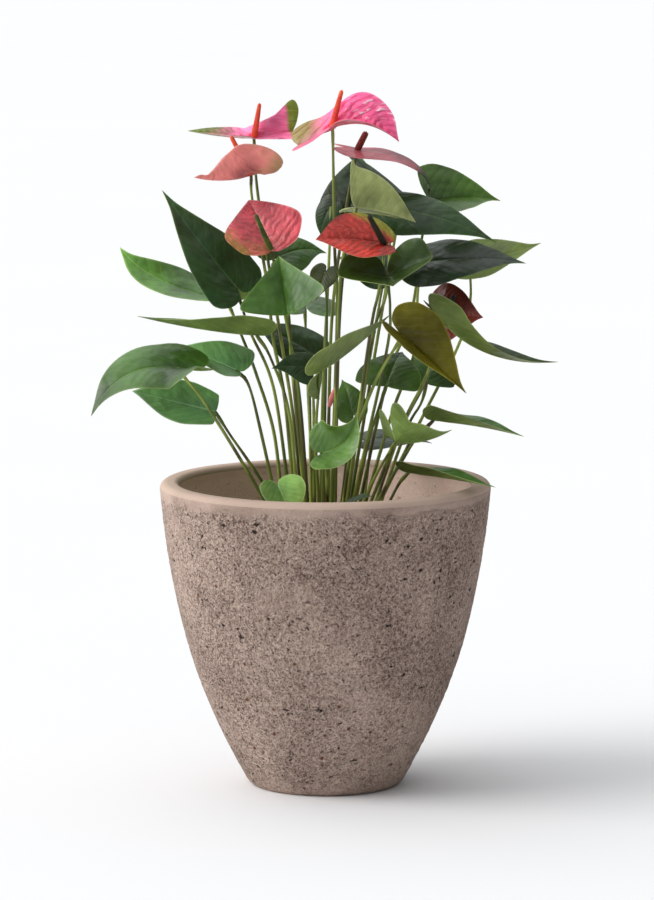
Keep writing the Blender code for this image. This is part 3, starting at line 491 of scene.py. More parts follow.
# Nodes of a material or a shape tree
class Wire:
    """An output of a node. Arithmetic with wires and numbers adds the Math nodes for it."""

    def __init__(self, tree, socket):
        self.tree, self.socket = tree, socket

    def __add__(self, other):
        return calc(self.tree, "ADD", self, other)

    def __sub__(self, other):
        return calc(self.tree, "SUBTRACT", self, other)

    def __rsub__(self, other):
        return calc(self.tree, "SUBTRACT", other, self)

    def __mul__(self, other):
        return calc(self.tree, "MULTIPLY", self, other)

    def __truediv__(self, other):
        return calc(self.tree, "DIVIDE", self, other)

    def __abs__(self):
        return calc(self.tree, "ABSOLUTE", self)

    def held(self):
        """The sum or product itself, kept between 0 and 1."""
        self.socket.node.use_clamp = True
        return self

    def spread(self, low, high, start=0.0, end=1.0):
        """The value with low to high moved to start to end, and kept within them."""
        return node(self.tree, "ShaderNodeMapRange", {"Value": self, "From Min": low, "From Max": high,
                                                      "To Min": start, "To Max": end}, clamp=True)[0]

    def grain(self, scale, detail=2.0, roughness=0.5):
        """Noise between 0 and 1 over this place."""
        return node(self.tree, "ShaderNodeTexNoise", {"Vector": self, "Scale": scale, "Detail": detail,
                                                      "Roughness": roughness})["Fac"]

    def parts(self):
        """The X, Y and Z of a place."""
        split = node(self.tree, "ShaderNodeSeparateXYZ", {0: self})
        return split[0], split[1], split[2]


class Outputs:
    """The outputs of a node, each taken as a wire by its name or number."""

    def __init__(self, tree, sockets):
        self.tree, self.sockets = tree, sockets

    def __getitem__(self, key):
        return Wire(self.tree, self.sockets[key])


def feed(tree, built, values):
    """Join a node's inputs to wires, or set them to plain values."""
    for key, value in values.items():
        if isinstance(value, Wire):
            tree.links.new(value.socket, built.inputs[key])
        else:
            built.inputs[key].default_value = value


def node(tree, kind, values=None, **settings):
    """Add a node, with its settings made and its inputs fed."""
    built = tree.nodes.new(kind)
    for key, value in settings.items():
        setattr(built, key, value)
    feed(tree, built, values or {})
    return Outputs(tree, built.outputs)


def calc(tree, operation, *values):
    return node(tree, "ShaderNodeMath", dict(enumerate(values)), operation=operation)[0]


def blend(tree, factor, first, second, kind="MIX"):
    """The first colour, with the second mixed in as far as the factor says."""
    return node(tree, "ShaderNodeMix", {0: factor, 6: first, 7: second}, data_type="RGBA", blend_type=kind)[2]


def body_place(tree):
    """The place in the piece's own space, in metres."""
    return node(tree, "ShaderNodeTexCoord")["Object"]


def blade_place(tree):
    """The blade's own map: the share along its midrib, and the reach across it."""
    return node(tree, "ShaderNodeUVMap", uv_map="Blade")[0]


def mark(tree, name, output):
    """An attribute that the mesh carries."""
    return node(tree, "ShaderNodeAttribute", attribute_name=name)[output]


def bump(tree, height, distance, strength=1.0, **settings):
    """A normal that leans as a relief of this height would, times a distance in metres."""
    return node(tree, "ShaderNodeBump", {"Height": height, "Strength": strength, "Distance": distance},
                **settings)[0]


def cells(tree, place, scale, **settings):
    """Irregular cells over a place, with the distance to each one's middle and its own colour."""
    return node(tree, "ShaderNodeTexVoronoi", {"Vector": place, "Scale": scale}, **settings)


def shader_group(name, inputs, outputs):
    """An empty node group for materials. An input's kind is that of its value, and Color is a colour."""
    tree = bpy.data.node_groups.new(name, "ShaderNodeTree")
    for label, value in inputs.items():
        kind = "NodeSocketColor" if isinstance(value, tuple) else "NodeSocketFloat"
        tree.interface.new_socket(label, in_out="INPUT", socket_type=kind).default_value = value
    for label in outputs:
        kind = "NodeSocketColor" if label == "Color" else "NodeSocketFloat"
        tree.interface.new_socket(label, in_out="OUTPUT", socket_type=kind)
    return tree, node(tree, "NodeGroupInput"), tree.nodes.new("NodeGroupOutput")


def placed_group(tree, group, values):
    return node(tree, "ShaderNodeGroup", values, node_tree=group)


def new_material(name):
    made = bpy.data.materials.new(name)
    made.use_nodes = True
    return made, made.node_tree, made.node_tree.nodes["Principled BSDF"]


# Skin of the leaves and spathes
def blade_veins_group():
    """The midrib, the side veins, the swell between them and the puckers of a blade."""
    tree, given, result = shader_group(
        "blade_veins", {"Side Veins": 8.0, "Slant": 0.5, "Vein Width": 0.12, "Wander": 0.05},
        ("Vein", "Quilt", "Edge", "Pucker"))
    place = blade_place(tree)
    share, across, _ = place.parts()
    reach = abs(across)
    bend = calc(tree, "POWER", reach, VEIN_CURVE) * given["Slant"]
    run = share - bend + (place.grain(SWAY_SCALE) - 0.5) * given["Wander"]
    wave = calc(tree, "PINGPONG", run * given["Side Veins"], 0.5)
    within = reach.spread(0.7, 1.0, 1.0, 0.0)
    side = wave.spread(0.0, given["Vein Width"], 1.0, 0.0) * within
    midrib_reach = 0.050 - share * 0.035
    midrib = (1.0 - reach / midrib_reach).held()
    warped = node(tree, "ShaderNodeCombineXYZ", {0: run * PUCKERS_ALONG, 1: across * PUCKERS_ACROSS})[0]
    pucker = cells(tree, warped, 1.0, feature="SMOOTH_F1")["Distance"]
    feed(tree, result, {
        "Vein": calc(tree, "MAXIMUM", midrib.spread(0.0, 0.5), side * 0.45),
        "Quilt": wave.spread(0.0, 0.5) * within,
        "Edge": mark(tree, "rim", "Fac").spread(0.955, 1.0),
        "Pucker": pucker.spread(0.0, 0.7, 1.0, 0.0)})
    return tree


def skin_group():
    """Colour of living skin: patches of two tones, with fine mottling and paler veins."""
    tree, given, result = shader_group(
        "plant_skin", {"Face": (0.1, 0.2, 0.1, 1), "Shade": (0.05, 0.1, 0.05, 1), "Veins": (0.3, 0.4, 0.2, 1),
                       "Vein": 0.0, "Edge": 0.0, "Patch Scale": PATCH_SCALE},
        ("Color", "Roughness", "Height"))
    place = body_place(tree)
    patch = place.grain(given["Patch Scale"], 3.0, 0.55).spread(0.32, 0.68)
    outward = mark(tree, "rim", "Fac").spread(0.05, 0.8)
    patch = (patch + outward) * 0.5
    mottling = place.grain(MOTTLE_SCALE, 2.0, 0.6)
    skin = blend(tree, patch, given["Shade"], given["Face"])
    for share in (mottling * 0.12, given["Vein"], given["Edge"] * 0.7):
        skin = blend(tree, share, skin, given["Veins"])
    cloud = place.grain(CLOUD_SCALE, 3.0, 0.6).spread(0.34, 0.66, *CLOUD_DEPTH)
    grey = node(tree, "ShaderNodeCombineColor", {0: cloud, 1: cloud, 2: cloud})[0]
    feed(tree, result, {
        "Color": blend(tree, 1.0, skin, grey, "MULTIPLY"),
        "Roughness": patch.spread(0.0, 1.0, *SKIN_ROUGHNESS),
        "Height": mottling})
    return tree


def blush_group():
    """A second colour that comes in along a spathe or to one side of it, with a ragged border."""
    tree, given, result = shader_group(
        "spathe_blush", {"Along": 1.0, "Across": 0.0, "Start": 0.0, "Rear": 0.0}, ("Blush",))
    place = blade_place(tree)
    share, across, _ = place.parts()
    rear = share.spread(-0.19, -0.27) * given["Rear"]
    ragged = place.grain(3.0, 3.0, 0.6) - 0.5
    grown_in = share * given["Along"] + across * given["Across"] + rear + given["Start"] + ragged * 0.9
    feed(tree, result, {"Blush": grown_in.spread(0.0, 0.5)})
    return tree


def shaded_vein_grooves(tree, lines, colour, shade):
    """A puckered spathe's side veins, sunk and darker in places: partly the veins' own darker
    colour, partly painted shade in the grooves.
    """
    groove = (1.0 - lines["Quilt"]).spread(0.45, 1.0) * 0.55
    groove = groove * blade_place(tree).grain(5.0).spread(0.38, 0.62)
    return blend(tree, groove, colour, shade)


def painted_highlights(tree, lines, colour):
    """Painted highlights, white, on top of the puckers, away from the joint and the midrib."""
    place = blade_place(tree)
    share, across, _ = place.parts()
    highlight = lines["Pucker"].spread(0.50, 0.68) * lines["Quilt"].spread(0.25, 0.7)
    highlight = highlight * share.spread(0.10, 0.25) * abs(across).spread(0.10, 0.26)
    highlight = highlight * place.grain(3.0, 1.0).spread(0.40, 0.52)
    return blend(tree, highlight * 0.9, colour, PAINTED_GLEAM)


def blade_material(name, tones, side, blush=None):
    """The waxy surface of one side of a leaf or a spathe."""
    made, tree, shader = new_material(name)
    face, shade, veins = [tone(*values) for values in tones]
    lines = placed_group(tree, BLADE_VEINS, {"Side Veins": side.side_veins, "Slant": side.slant,
                                             "Vein Width": side.width, "Wander": side.wander})
    skin = placed_group(tree, PLANT_SKIN, {"Face": face, "Shade": shade, "Veins": veins,
                                           "Vein": lines["Vein"] * side.strength, "Edge": lines["Edge"]})
    colour = skin["Color"]
    # The leaf's tint, which paints sheen on some leaves and shade on others
    if side.tinted:
        colour = blend(tree, side.tinted, colour, mark(tree, "tint", "Color"), "MULTIPLY")
    # Darker side veins, partly their own colour and partly painted shade in the grooves
    if side.pucker > DEEP_PUCKER:
        colour = shaded_vein_grooves(tree, lines, colour, shade)
    if blush:
        second = placed_group(tree, SPATHE_BLUSH, {"Along": blush.along, "Across": blush.across,
                                                   "Start": blush.start, "Rear": blush.rear})
        colour = blend(tree, second["Blush"] * BLUSH_DEPTH, colour, tone(*blush.colour))
    # Painted highlights on top of the puckers
    if side.pucker > HIGHLIGHT_PUCKER:
        colour = painted_highlights(tree, lines, colour)
    height = lines["Quilt"] * side.quilt + lines["Pucker"] * side.pucker
    height = height + body_place(tree).grain(WAVE_SCALE) * UNDULATION
    height = height + skin["Height"] * MOTTLE_HEIGHT - lines["Vein"] * VEIN_DEPTH
    feed(tree, shader, {
        "Base Color": colour, "Roughness": skin["Roughness"], "Normal": bump(tree, height, 1.0),
        "Specular IOR Level": 0.3, "Coat Weight": side.coat, "Coat Roughness": 0.18})
    return made


# Skin of the stalks and spadices
def stalk_material():
    """Green stalks that turn brown towards the foot, streaked along their length."""
    made, tree, shader = new_material("stalk_skin")
    place = body_place(tree)
    stretched = node(tree, "ShaderNodeMapping", {"Vector": place, "Scale": DRAWN_OUT})[0]
    streak = stretched.grain(STREAK_SCALE, 3.0, 0.6)
    pale = stretched.grain(PALE_SCALE, 1.0).spread(0.35, 0.65)
    brown = stretched.grain(BROWN_SCALE, 1.0).spread(0.53, 0.62)
    low = place.parts()[2].spread(*STALK_BROWNS, 1.0, 0.0)
    colour = blend(tree, pale, tone(84, 104, 34), tone(172, 188, 84))
    colour = blend(tree, brown * 0.8, colour, tone(78, 54, 28))
    colour = blend(tree, low * 0.18, colour, tone(96, 70, 36))
    colour = blend(tree, streak * 0.3, colour, tone(70, 86, 30))
    feed(tree, shader, {"Base Color": colour, "Roughness": streak.spread(0.0, 1.0, 0.4, 0.6),
                        "Normal": bump(tree, streak, 0.0004, 0.4)})
    return made


def spadix_material(name, face, shade):
    """Tiny florets, darker where they meet as painted shade between them, in patches of two tones."""
    made, tree, shader = new_material(name)
    place = body_place(tree)
    dots = cells(tree, place, DOT_SCALE)["Distance"]
    colour = blend(tree, place.grain(BLOTCH_SCALE).spread(0.3, 0.7), tone(*shade), tone(*face))
    # Painted shade in the gaps between the florets
    rim = tone(*[value * 0.7 for value in shade])
    colour = blend(tree, dots.spread(0.45, 0.8, 0.0, 0.3), colour, rim)
    feed(tree, shader, {"Base Color": colour, "Roughness": dots.spread(0.0, 0.8, 0.42, 0.62),
                        "Normal": bump(tree, dots, 0.0003, 0.5, invert=True),
                        "Subsurface Weight": 0.15, "Subsurface Scale": 0.002})
    return made


# Skin of the planter and the soil
def stone_group():
    """Cast stone: light and dark grit, worn patches, and pores darkened with painted shade."""
    tree, given, result = shader_group(
        "cast_stone", {"Light": (0.4, 0.3, 0.25, 1), "Dark": (0.2, 0.15, 0.1, 1),
                       "Pore Shade": (0.05, 0.03, 0.02, 1), "Roughened": 1.0},
        ("Color", "Roughness", "Height"))
    place = body_place(tree)
    height = place.parts()[2]
    lip_edge = height + (place.grain(LIP_EDGE_SCALE, 4.0) - 0.5) * LIP_RAGGED
    worn = place.grain(WORN_SCALE, 3.0, 0.55).spread(0.60, 0.68, 1.0, 0.5)
    rough = worn * given["Roughened"] * height.spread(*FOOT_SMOOTH, 0.5, 1.0)
    rough = rough * lip_edge.spread(*LIP_SMOOTH, 1.0, 0.15)
    sand = place.grain(SAND_SCALE, 2.0, 0.6)
    lumps = place.grain(LUMP_SCALE, 3.0, 0.7)
    grit = sand * 0.55 + lumps * 0.45
    shades = place.grain(SHADE_SCALE, 4.0, 0.6).spread(0.30, 0.70, 0.30, 0.74)
    light = (shades + (grit - 0.5) * GRIT_CONTRAST * rough).held()
    body = blend(tree, light, given["Dark"], given["Light"])

    hollows = place.grain(HOLLOW_SCALE).spread(0.27, 0.36, 1.0, 0.0) * rough
    flattened = node(tree, "ShaderNodeMapping", {"Vector": place, "Scale": FLATTENED})[0]
    pits = cells(tree, flattened, PIT_SCALE)
    ragged = pits["Distance"] + (lumps - 0.5) * 0.9
    chosen = pits["Color"].parts()[0].spread(*PITS_SHOW)
    hole = (ragged.spread(0.08, 0.17, 1.0, 0.0) * chosen * rough).held()
    pores = calc(tree, "MAXIMUM", (hollows * 0.8).held(), hole)
    # Painted shade in the small hollows and pits
    body = blend(tree, pores, body, given["Pore Shade"])

    rust = cells(tree, place, RUST_SCALE)
    rare = rust["Color"].parts()[1].spread(0.93, 0.94)
    body = blend(tree, rust["Distance"].spread(0.10, 0.2, 1.0, 0.0) * rare * rough, body, RUST)
    feed(tree, result, {
        "Color": body, "Roughness": sand.spread(0.0, 1.0, 0.8, 1.0),
        "Height": (grit * 1.2 - pores) * (rough + 0.06)})
    return tree


def stone_material(name, tones, roughened, relief):
    """Cast stone in light and dark tones, with painted shade in its pores, as rough as the side of the pot or
    less.
    """
    made, tree, shader = new_material(name)
    light, dark, pore_shade = [tone(*values) for values in tones]
    stone = placed_group(tree, CAST_STONE, {"Light": light, "Dark": dark, "Pore Shade": pore_shade,
                                            "Roughened": roughened})
    feed(tree, shader, {"Base Color": stone["Color"], "Roughness": stone["Roughness"],
                        "Normal": bump(tree, stone["Height"], relief), "Specular IOR Level": 0.25})
    return made


def soil_material():
    """Dark crumbly soil with pale chips."""
    made, tree, shader = new_material("potting_soil")
    place = body_place(tree)
    clods = place.grain(CLOD_SCALE, 4.0, 0.65)
    colour = blend(tree, clods.spread(0.3, 0.7), tone(38, 28, 20), tone(92, 70, 50))
    colour = blend(tree, place.grain(CHIP_SCALE).spread(0.62, 0.7), colour, tone(150, 132, 104))
    feed(tree, shader, {"Base Color": colour, "Roughness": 0.95, "Normal": bump(tree, clods, 0.002, 0.8)})
    return made


# Shapes that follow a rule
def shape_tree(name, inputs):
    """An empty Geometry Nodes tree with its named inputs."""
    tree = bpy.data.node_groups.new(name, "GeometryNodeTree")
    tree.interface.new_socket("Geometry", in_out="INPUT", socket_type="NodeSocketGeometry")
    for label, kind, value in inputs:
        socket = tree.interface.new_socket(label, in_out="INPUT", socket_type="NodeSocket" + kind)
        socket.default_value = value
    tree.interface.new_socket("Material", in_out="INPUT", socket_type="NodeSocketMaterial")
    tree.interface.new_socket("Geometry", in_out="OUTPUT", socket_type="NodeSocketGeometry")
    return tree, node(tree, "NodeGroupInput")


def end_tree(tree, parts, given, smooth=True):
    """Join what the tree made, realize it and give it its material."""
    joined = tree.nodes.new("GeometryNodeJoinGeometry")
    for part in parts:
        tree.links.new(part.socket, joined.inputs[0])
    real = node(tree, "GeometryNodeRealizeInstances", {0: Wire(tree, joined.outputs[0])})[0]
    shaded = node(tree, "GeometryNodeSetShadeSmooth", {"Geometry": real, "Shade Smooth": smooth})[0]
    painted = node(tree, "GeometryNodeSetMaterial", {"Geometry": shaded, "Material": given["Material"]})[0]
    feed(tree, tree.nodes.new("NodeGroupOutput"), {0: painted})
    return tree


def swept(tree, curve, sides):
    """A round skin along a curve, as thick at each point as its girth says, and that girth."""
    girth = node(tree, "GeometryNodeInputNamedAttribute", {"Name": "girth"})[0]
    ring = node(tree, "GeometryNodeCurvePrimitiveCircle", {"Resolution": sides, "Radius": 1.0})[0]
    skin = node(tree, "GeometryNodeCurveToMesh", {"Curve": curve, "Profile Curve": ring, "Scale": girth,
                                                  "Fill Caps": True})[0]
    return skin, girth


def strewn(tree, points, bead, turns, sizes):
    """A copy of the bead at each point."""
    return node(tree, "GeometryNodeInstanceOnPoints", {"Points": points, "Instance": bead, "Rotation": turns,
                                                       "Scale": sizes})[0]


def random_vector(tree, low, high, seed):
    return node(tree, "FunctionNodeRandomValue", {"Min": low, "Max": high, "Seed": seed},
                data_type="FLOAT_VECTOR")[0]


def stalk_tree():
    """A round stalk along a path."""
    tree, given = shape_tree("stalk_sweep", [("Sides", "Int", 10)])
    curve = node(tree, "GeometryNodeMeshToCurve", {0: given["Geometry"]})[0]
    return end_tree(tree, [swept(tree, curve, given["Sides"])[0]], given)


def spadix_tree():
    """A tapered core with a floret at each point of a staggered lattice round it."""
    tree, given = shape_tree("spadix_florets", [
        ("Rows", "Int", 36), ("Round", "Int", 15), ("Floret Size", "Float", 0.0005),
        ("Thickest", "Float", 0.003)])
    curve = node(tree, "GeometryNodeMeshToCurve", {0: given["Geometry"]})[0]
    rows = node(tree, "GeometryNodeResampleCurve", {"Curve": curve, "Count": given["Rows"]})[0]
    odd = calc(tree, "MODULO", node(tree, "GeometryNodeInputIndex")[0], 2.0)
    tilt = odd * math.pi / given["Round"]
    staggered = node(tree, "GeometryNodeSetCurveTilt", {"Curve": rows, "Tilt": tilt})[0]
    core, girth = swept(tree, staggered, given["Round"])
    floret = node(tree, "GeometryNodeMeshIcoSphere", {"Radius": given["Floret Size"], "Subdivisions": 1})[0]
    outward = node(tree, "GeometryNodeInputNormal")[0]
    facing = node(tree, "FunctionNodeAlignRotationToVector", {"Vector": outward}, axis="Z")[0]
    size = girth / given["Thickest"] * 0.7 + 0.3
    sizes = node(tree, "ShaderNodeCombineXYZ", {0: size, 1: size, 2: size * 0.8})[0]
    return end_tree(tree, [core, strewn(tree, core, floret, facing, sizes)], given)


def crumb_tree():
    """Crumbs and chips strewn over the ground that the tree is given."""
    tree, given = shape_tree("soil_crumbs", [("Density", "Float", 10000.0), ("Seed", "Int", 4),
                                             ("Crumb Size", "Float", 0.002)])
    points = node(tree, "GeometryNodeDistributePointsOnFaces", {
        "Mesh": given["Geometry"], "Density": given["Density"], "Seed": given["Seed"]})[0]
    crumb = node(tree, "GeometryNodeMeshIcoSphere", {"Radius": given["Crumb Size"], "Subdivisions": 1})[0]
    turns = random_vector(tree, (0, 0, 0), (6.2, 6.2, 6.2), 7)
    sizes = random_vector(tree, (0.3, 0.3, 0.25), (1.3, 1.0, 0.8), 9)
    return end_tree(tree, [given["Geometry"], strewn(tree, points, crumb, turns, sizes)], given, smooth=False)


def grown(mesh, tree, values):
    """The mesh that a tree makes of another, with the tree's named inputs set."""
    source = bpy.data.objects.new("source", mesh)
    SCENE.collection.objects.link(source)
    modifier = source.modifiers.new("shape", "NODES")
    modifier.node_group = tree
    for item in tree.interface.items_tree:
        if item.item_type == "SOCKET" and item.in_out == "INPUT" and item.name in values:
            modifier[item.identifier] = values[item.name]
    made = bpy.data.meshes.new_from_object(source.evaluated_get(bpy.context.evaluated_depsgraph_get()))
    source.modifiers.remove(modifier)
    bpy.data.objects.remove(source, do_unlink=True)
    bpy.data.meshes.remove(mesh)
    return made


# Curves and blades
def unit(vector):
    vector = np.asarray(vector, dtype=float)
    return vector / np.linalg.norm(vector)


def units(vectors):
    return vectors / np.linalg.norm(vectors, axis=1)[:, None]


def smooth_path(points, step):
    """Evenly spaced points on a smooth curve through the given points, about a step apart."""
    points = [np.asarray(point, dtype=float) for point in points]
    ends = [2 * points[0] - points[1], *points, 2 * points[-1] - points[-2]]
    fine = []
    for before, start, end, after in zip(ends, ends[1:], ends[2:], ends[3:]):
        for share in np.linspace(0, 1, 12, endpoint=False):
            square, cube = share ** 2, share ** 3
            fine.append(0.5 * (2 * start + (end - before) * share
                               + (2 * before - 5 * start + 4 * end - after) * square
                               + (3 * start - before - 3 * end + after) * cube))
    fine = np.array([*fine, points[-1]])
    distance = np.concatenate([[0], np.cumsum(np.linalg.norm(np.diff(fine, axis=0), axis=1))])
    wanted = np.linspace(0, distance[-1], max(3, round(distance[-1] / step)) + 1)
    return np.column_stack([np.interp(wanted, distance, fine[:, axis]) for axis in range(fine.shape[1])])


def blade_length(blade):
    return np.linalg.norm(np.subtract(blade.tip, blade.joint))


def blade_frame(blade, shares):
    """The midrib's points, directions, upper and right sides at shares of its length."""
    joint, tip = np.array(blade.joint, dtype=float), np.array(blade.tip, dtype=float)
    control = (joint + tip) / 2 + 2 * np.array(blade.bend, dtype=float)
    along = np.clip(np.atleast_1d(shares), 0, 1)[:, None]
    point = joint * (1 - along) ** 2 + control * 2 * along * (1 - along) + tip * along ** 2
    direction = units((control - joint) * (1 - along) + (tip - control) * along)
    face = unit(blade.face)
    upper = units(face - direction * (direction @ face)[:, None])
    angle = np.radians(blade.twist) * along
    upper = upper * np.cos(angle) + np.cross(direction, upper) * np.sin(angle)
    return point, direction, upper, np.cross(direction, upper)


def blade_points(blade, shares, reaches, flat_radius):
    """Points of the blade: shares along the midrib, reaches from -1 (left margin) to 1 (right)."""
    length = blade_length(blade)
    point, direction, upper, right = blade_frame(blade, shares)
    reach = np.abs(reaches)
    sideways = reach * blade.width / 2
    behind = np.maximum(-shares, 0.0) * length * blade.lobe_length
    ease = np.ones_like(shares)
    if flat_radius:
        ease = np.clip(np.hypot(sideways, shares * length) / flat_radius - 1.0, 0.0, 1.0)
    fold = np.where(reaches < 0, blade.fold[0], blade.fold[1]).astype(float)
    if blade.lobe_fold:
        forward = np.clip((shares + LOBE_BLEND) / (2 * LOBE_BLEND), 0.0, 1.0)
        lobe = np.where(reaches < 0, blade.lobe_fold[0], blade.lobe_fold[1])
        fold = lobe + (fold - lobe) * forward
    angle = np.radians(fold + blade.cup * reach) * ease
    lift = np.radians(blade.lobes) * ease
    wave = MARGIN_WAVE * length * np.sin(WAVE_TURN * shares + blade.width) * reach ** 2 * ease
    ruffle = RUFFLE * MARGIN_WAVE * length * np.sin(RUFFLE_TURN * shares + 2.0 * reaches) * reach ** 3 * ease
    point = point + (upper * np.sin(lift)[:, None] - direction * np.cos(lift)[:, None]) * behind[:, None]
    point = point + right * (np.sign(reaches) * sideways * np.cos(angle))[:, None]
    return point + upper * (sideways * np.sin(angle) + wave + ruffle)[:, None]


def blade_layout(blade, outline, grid, flat_radius):
    """The blade's map in rings from the middle to the margin, and how far out each of its points is."""
    half, rings = grid
    right_side = smooth_path(outline, OUTLINE_STEP)
    right_side = np.column_stack([np.interp(np.linspace(0, 1, half), np.linspace(0, 1, len(right_side)),
                                            right_side[:, axis]) for axis in range(2)])
    margin = np.concatenate([right_side, (right_side * (1, -1))[-2:0:-1]])
    count = len(margin)
    centre = np.zeros((count, 2))
    if flat_radius:
        turn = np.linspace(0, 2 * math.pi, count, endpoint=False)
        centre = np.column_stack([np.cos(turn) * flat_radius / blade_length(blade),
                                  np.sin(turn) * flat_radius / (blade.width / 2)])
    steps = np.linspace(0, 1, rings + 1)[1:]
    layout = np.concatenate([[(0.0, 0.0)]] + [centre * (1 - step) + margin * step for step in steps])
    rim = np.concatenate([[0.0]] + [np.full(count, step) for step in steps])
    return layout, rim, count


def blade_faces(rings, count):
    """Triangles round the middle point, and quads between the rings round it."""
    here, after = np.arange(count), (np.arange(count) + 1) % count
    fan = np.column_stack([np.zeros(count, int), 1 + here, 1 + after])
    starts = 1 + np.arange(rings - 1) * count
    quads = [np.column_stack([start + here, start + here + count, start + after + count, start + after])
             for start in starts]
    return fan, np.concatenate(quads)


def upper_normals(blade, middle, fan, quads):
    """Which way the blade's upper side looks at each of its points."""
    cross = np.cross(middle[quads[:, 2]] - middle[quads[:, 0]], middle[quads[:, 3]] - middle[quads[:, 1]])
    normals = np.zeros_like(middle)
    for corner in range(4):
        np.add.at(normals, quads[:, corner], cross)
    first = np.cross(middle[fan[:, 1]] - middle[0], middle[fan[:, 2]] - middle[0])
    normals[0] = first.sum(axis=0)
    normals = units(normals)
    return normals if normals[0] @ blade_frame(blade, 0.0)[2][0] >= 0 else -normals


def carry(mesh, name, values):
    """Give a mesh a number at each of its points."""
    mesh.attributes.new(name, "FLOAT", "POINT").data.foreach_set("value", values)


def blade_mesh(blade, outline, grid, thickness, flat_radius, side_veins, slant, relief):
    """A blade's closed mesh, with its upper side in slot 0 and its under side in slot 1."""
    layout, rim, count = blade_layout(blade, outline, grid, flat_radius)
    fan, quads = blade_faces(grid[1], count)
    shares, reaches = layout[:, 0], layout[:, 1]
    middle = blade_points(blade, shares, reaches, flat_radius)
    normals = upper_normals(blade, middle, fan, quads)
    reach = np.abs(reaches)
    sideways = reach * blade.width / 2
    run = (shares - slant * reach ** VEIN_CURVE) * side_veins
    swell = np.abs(np.sin(np.pi * run)) * np.clip(reach / 0.12, 0, 1) * np.clip((1 - rim) / 0.15, 0, 1)
    groove = np.exp(-(sideways / MIDRIB_WIDTH) ** 2) * np.clip(1.0 - rim, 0, 1)
    clear = np.clip(np.hypot(sideways, shares * blade_length(blade)) / JOINT_CLEAR - 0.5, 0, 1)
    middle = middle + normals * ((relief * swell - MIDRIB_DEPTH * groove) * clear)[:, None]
    half_thick = (thickness / 2 * (1 - MARGIN_THINNING * rim ** 6))[:, None]
    points = np.concatenate([middle + normals * half_thick, middle - normals * half_thick])
    total = len(middle)
    top = [tuple(map(int, face)) for face in [*fan, *quads]]
    under = [tuple(index + total for index in reversed(face)) for face in top]
    edge = total - count
    sides = [(edge + (step + 1) % count, edge + step, edge + step + total, edge + (step + 1) % count + total)
             for step in range(count)]
    mesh = bpy.data.meshes.new("blade")
    mesh.from_pydata((points * MM).tolist(), [], top + under + sides)
    carry(mesh, "rim", np.tile(rim, 2).astype(np.float32))
    corners = np.zeros(len(mesh.loops), dtype=np.int32)
    mesh.loops.foreach_get("vertex_index", corners)
    places = np.tile(layout, (2, 1))[corners].astype(np.float32)
    mesh.uv_layers.new(name="Blade").data.foreach_set("uv", places.ravel())
    slots = np.zeros(len(mesh.polygons), dtype=np.int32)
    slots[len(top):] = 1
    mesh.polygons.foreach_set("material_index", slots)
    return mesh


def path_mesh(points, girths):
    """A line of points, with the girth that a swept shape has at each."""
    mesh = bpy.data.meshes.new("path")
    links = [(number, number + 1) for number in range(len(points) - 1)]
    mesh.from_pydata((np.asarray(points) * MM).tolist(), links, [])
    carry(mesh, "girth", np.asarray(girths, np.float32) * MM)
    return mesh


def hump(distance, width):
    """1 in the middle, and falling off to nothing within about two widths."""
    return np.exp(-(distance / width) ** 2)


def stalk_mesh(root, via, end, swelling):
    """A stalk from below the soil to its end, with a swollen joint at its top and a thicker foot."""
    foot = np.array([root[0], root[1], SOIL_HEIGHT])
    first = np.asarray(via[-1] if via else end, dtype=float)
    lean = unit(first - foot)
    below = foot - lean * STALK_DEPTH / lean[2]
    path = smooth_path([below, foot, *reversed(list(via)), end], STALK_PITCH)
    girth = np.linspace(STALK_RADII[0], STALK_RADII[1], len(path))
    left = np.linalg.norm(path - path[-1], axis=1)
    girth = girth * (1 - NECK_THINNING * hump(left - NECK_PLACE, NECK_LENGTH))
    girth = girth + swelling * hump(left - JOINT_PLACE, JOINT_LENGTH)
    girth = girth + FOOT_SWELLING * hump(left[::-1], FOOT_LENGTH)
    return grown(path_mesh(path, girth), STALK_SWEEP, {"Sides": STALK_ROUND, "Material": STALK_SKIN})


def merged(meshes, materials, slots):
    """One mesh of several, each put in its material slot or keeping its own where slot is None."""
    work = bmesh.new()
    for mesh, slot_index in zip(meshes, slots):
        before = len(work.faces)
        work.from_mesh(mesh)
        work.faces.ensure_lookup_table()
        if slot_index is not None:
            for face in work.faces[before:]:
                face.material_index = slot_index
        bpy.data.meshes.remove(mesh)
    bmesh.ops.recalc_face_normals(work, faces=work.faces[:])
    made = bpy.data.meshes.new("merged")
    work.to_mesh(made)
    work.free()
    for item in materials:
        made.materials.append(item)
    made.shade_smooth()
    made.set_sharp_from_angle(angle=math.radians(SHARP_ANGLE))
    return made


def place_piece(name, mesh, node_name):
    """Show a finished piece in place of its solid."""
    mesh.name = name
    piece = bpy.data.objects.new(name, mesh)
    SCENE.collection.objects.link(piece)
    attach(piece, "root")
    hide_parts(node_name)


def place_stalk(name, mesh):
    place_piece(name + "_grown", merged([mesh], [STALK_SKIN], [0]), name)


def make_leaf(leaf):
    blade = blade_mesh(leaf.blade, leaf.blade.outline, LEAF_GRID, BLADE_THICKNESS, 0.0, LEAF_TOP.side_veins,
                       LEAF_TOP.slant, LEAF_SWELL)
    # Each leaf carries its tint, painted sheen for some leaves and painted shade for others
    tint = blade.attributes.new("tint", "FLOAT_COLOR", "POINT")
    shown = LEAF_TINTS[TINT_OF_LEAF.get(leaf.name, "plain")]
    tint.data.foreach_set("color", [*shown, 1.0] * len(blade.vertices))
    stalk = stalk_mesh(leaf.root, leaf.via, leaf.blade.joint, LEAF_JOINT_SWELLING)
    made = merged([blade, stalk], [*LEAF_SKINS[leaf.shade], STALK_SKIN], [None, 2])
    place_piece(leaf.name + "_grown", made, leaf.name)


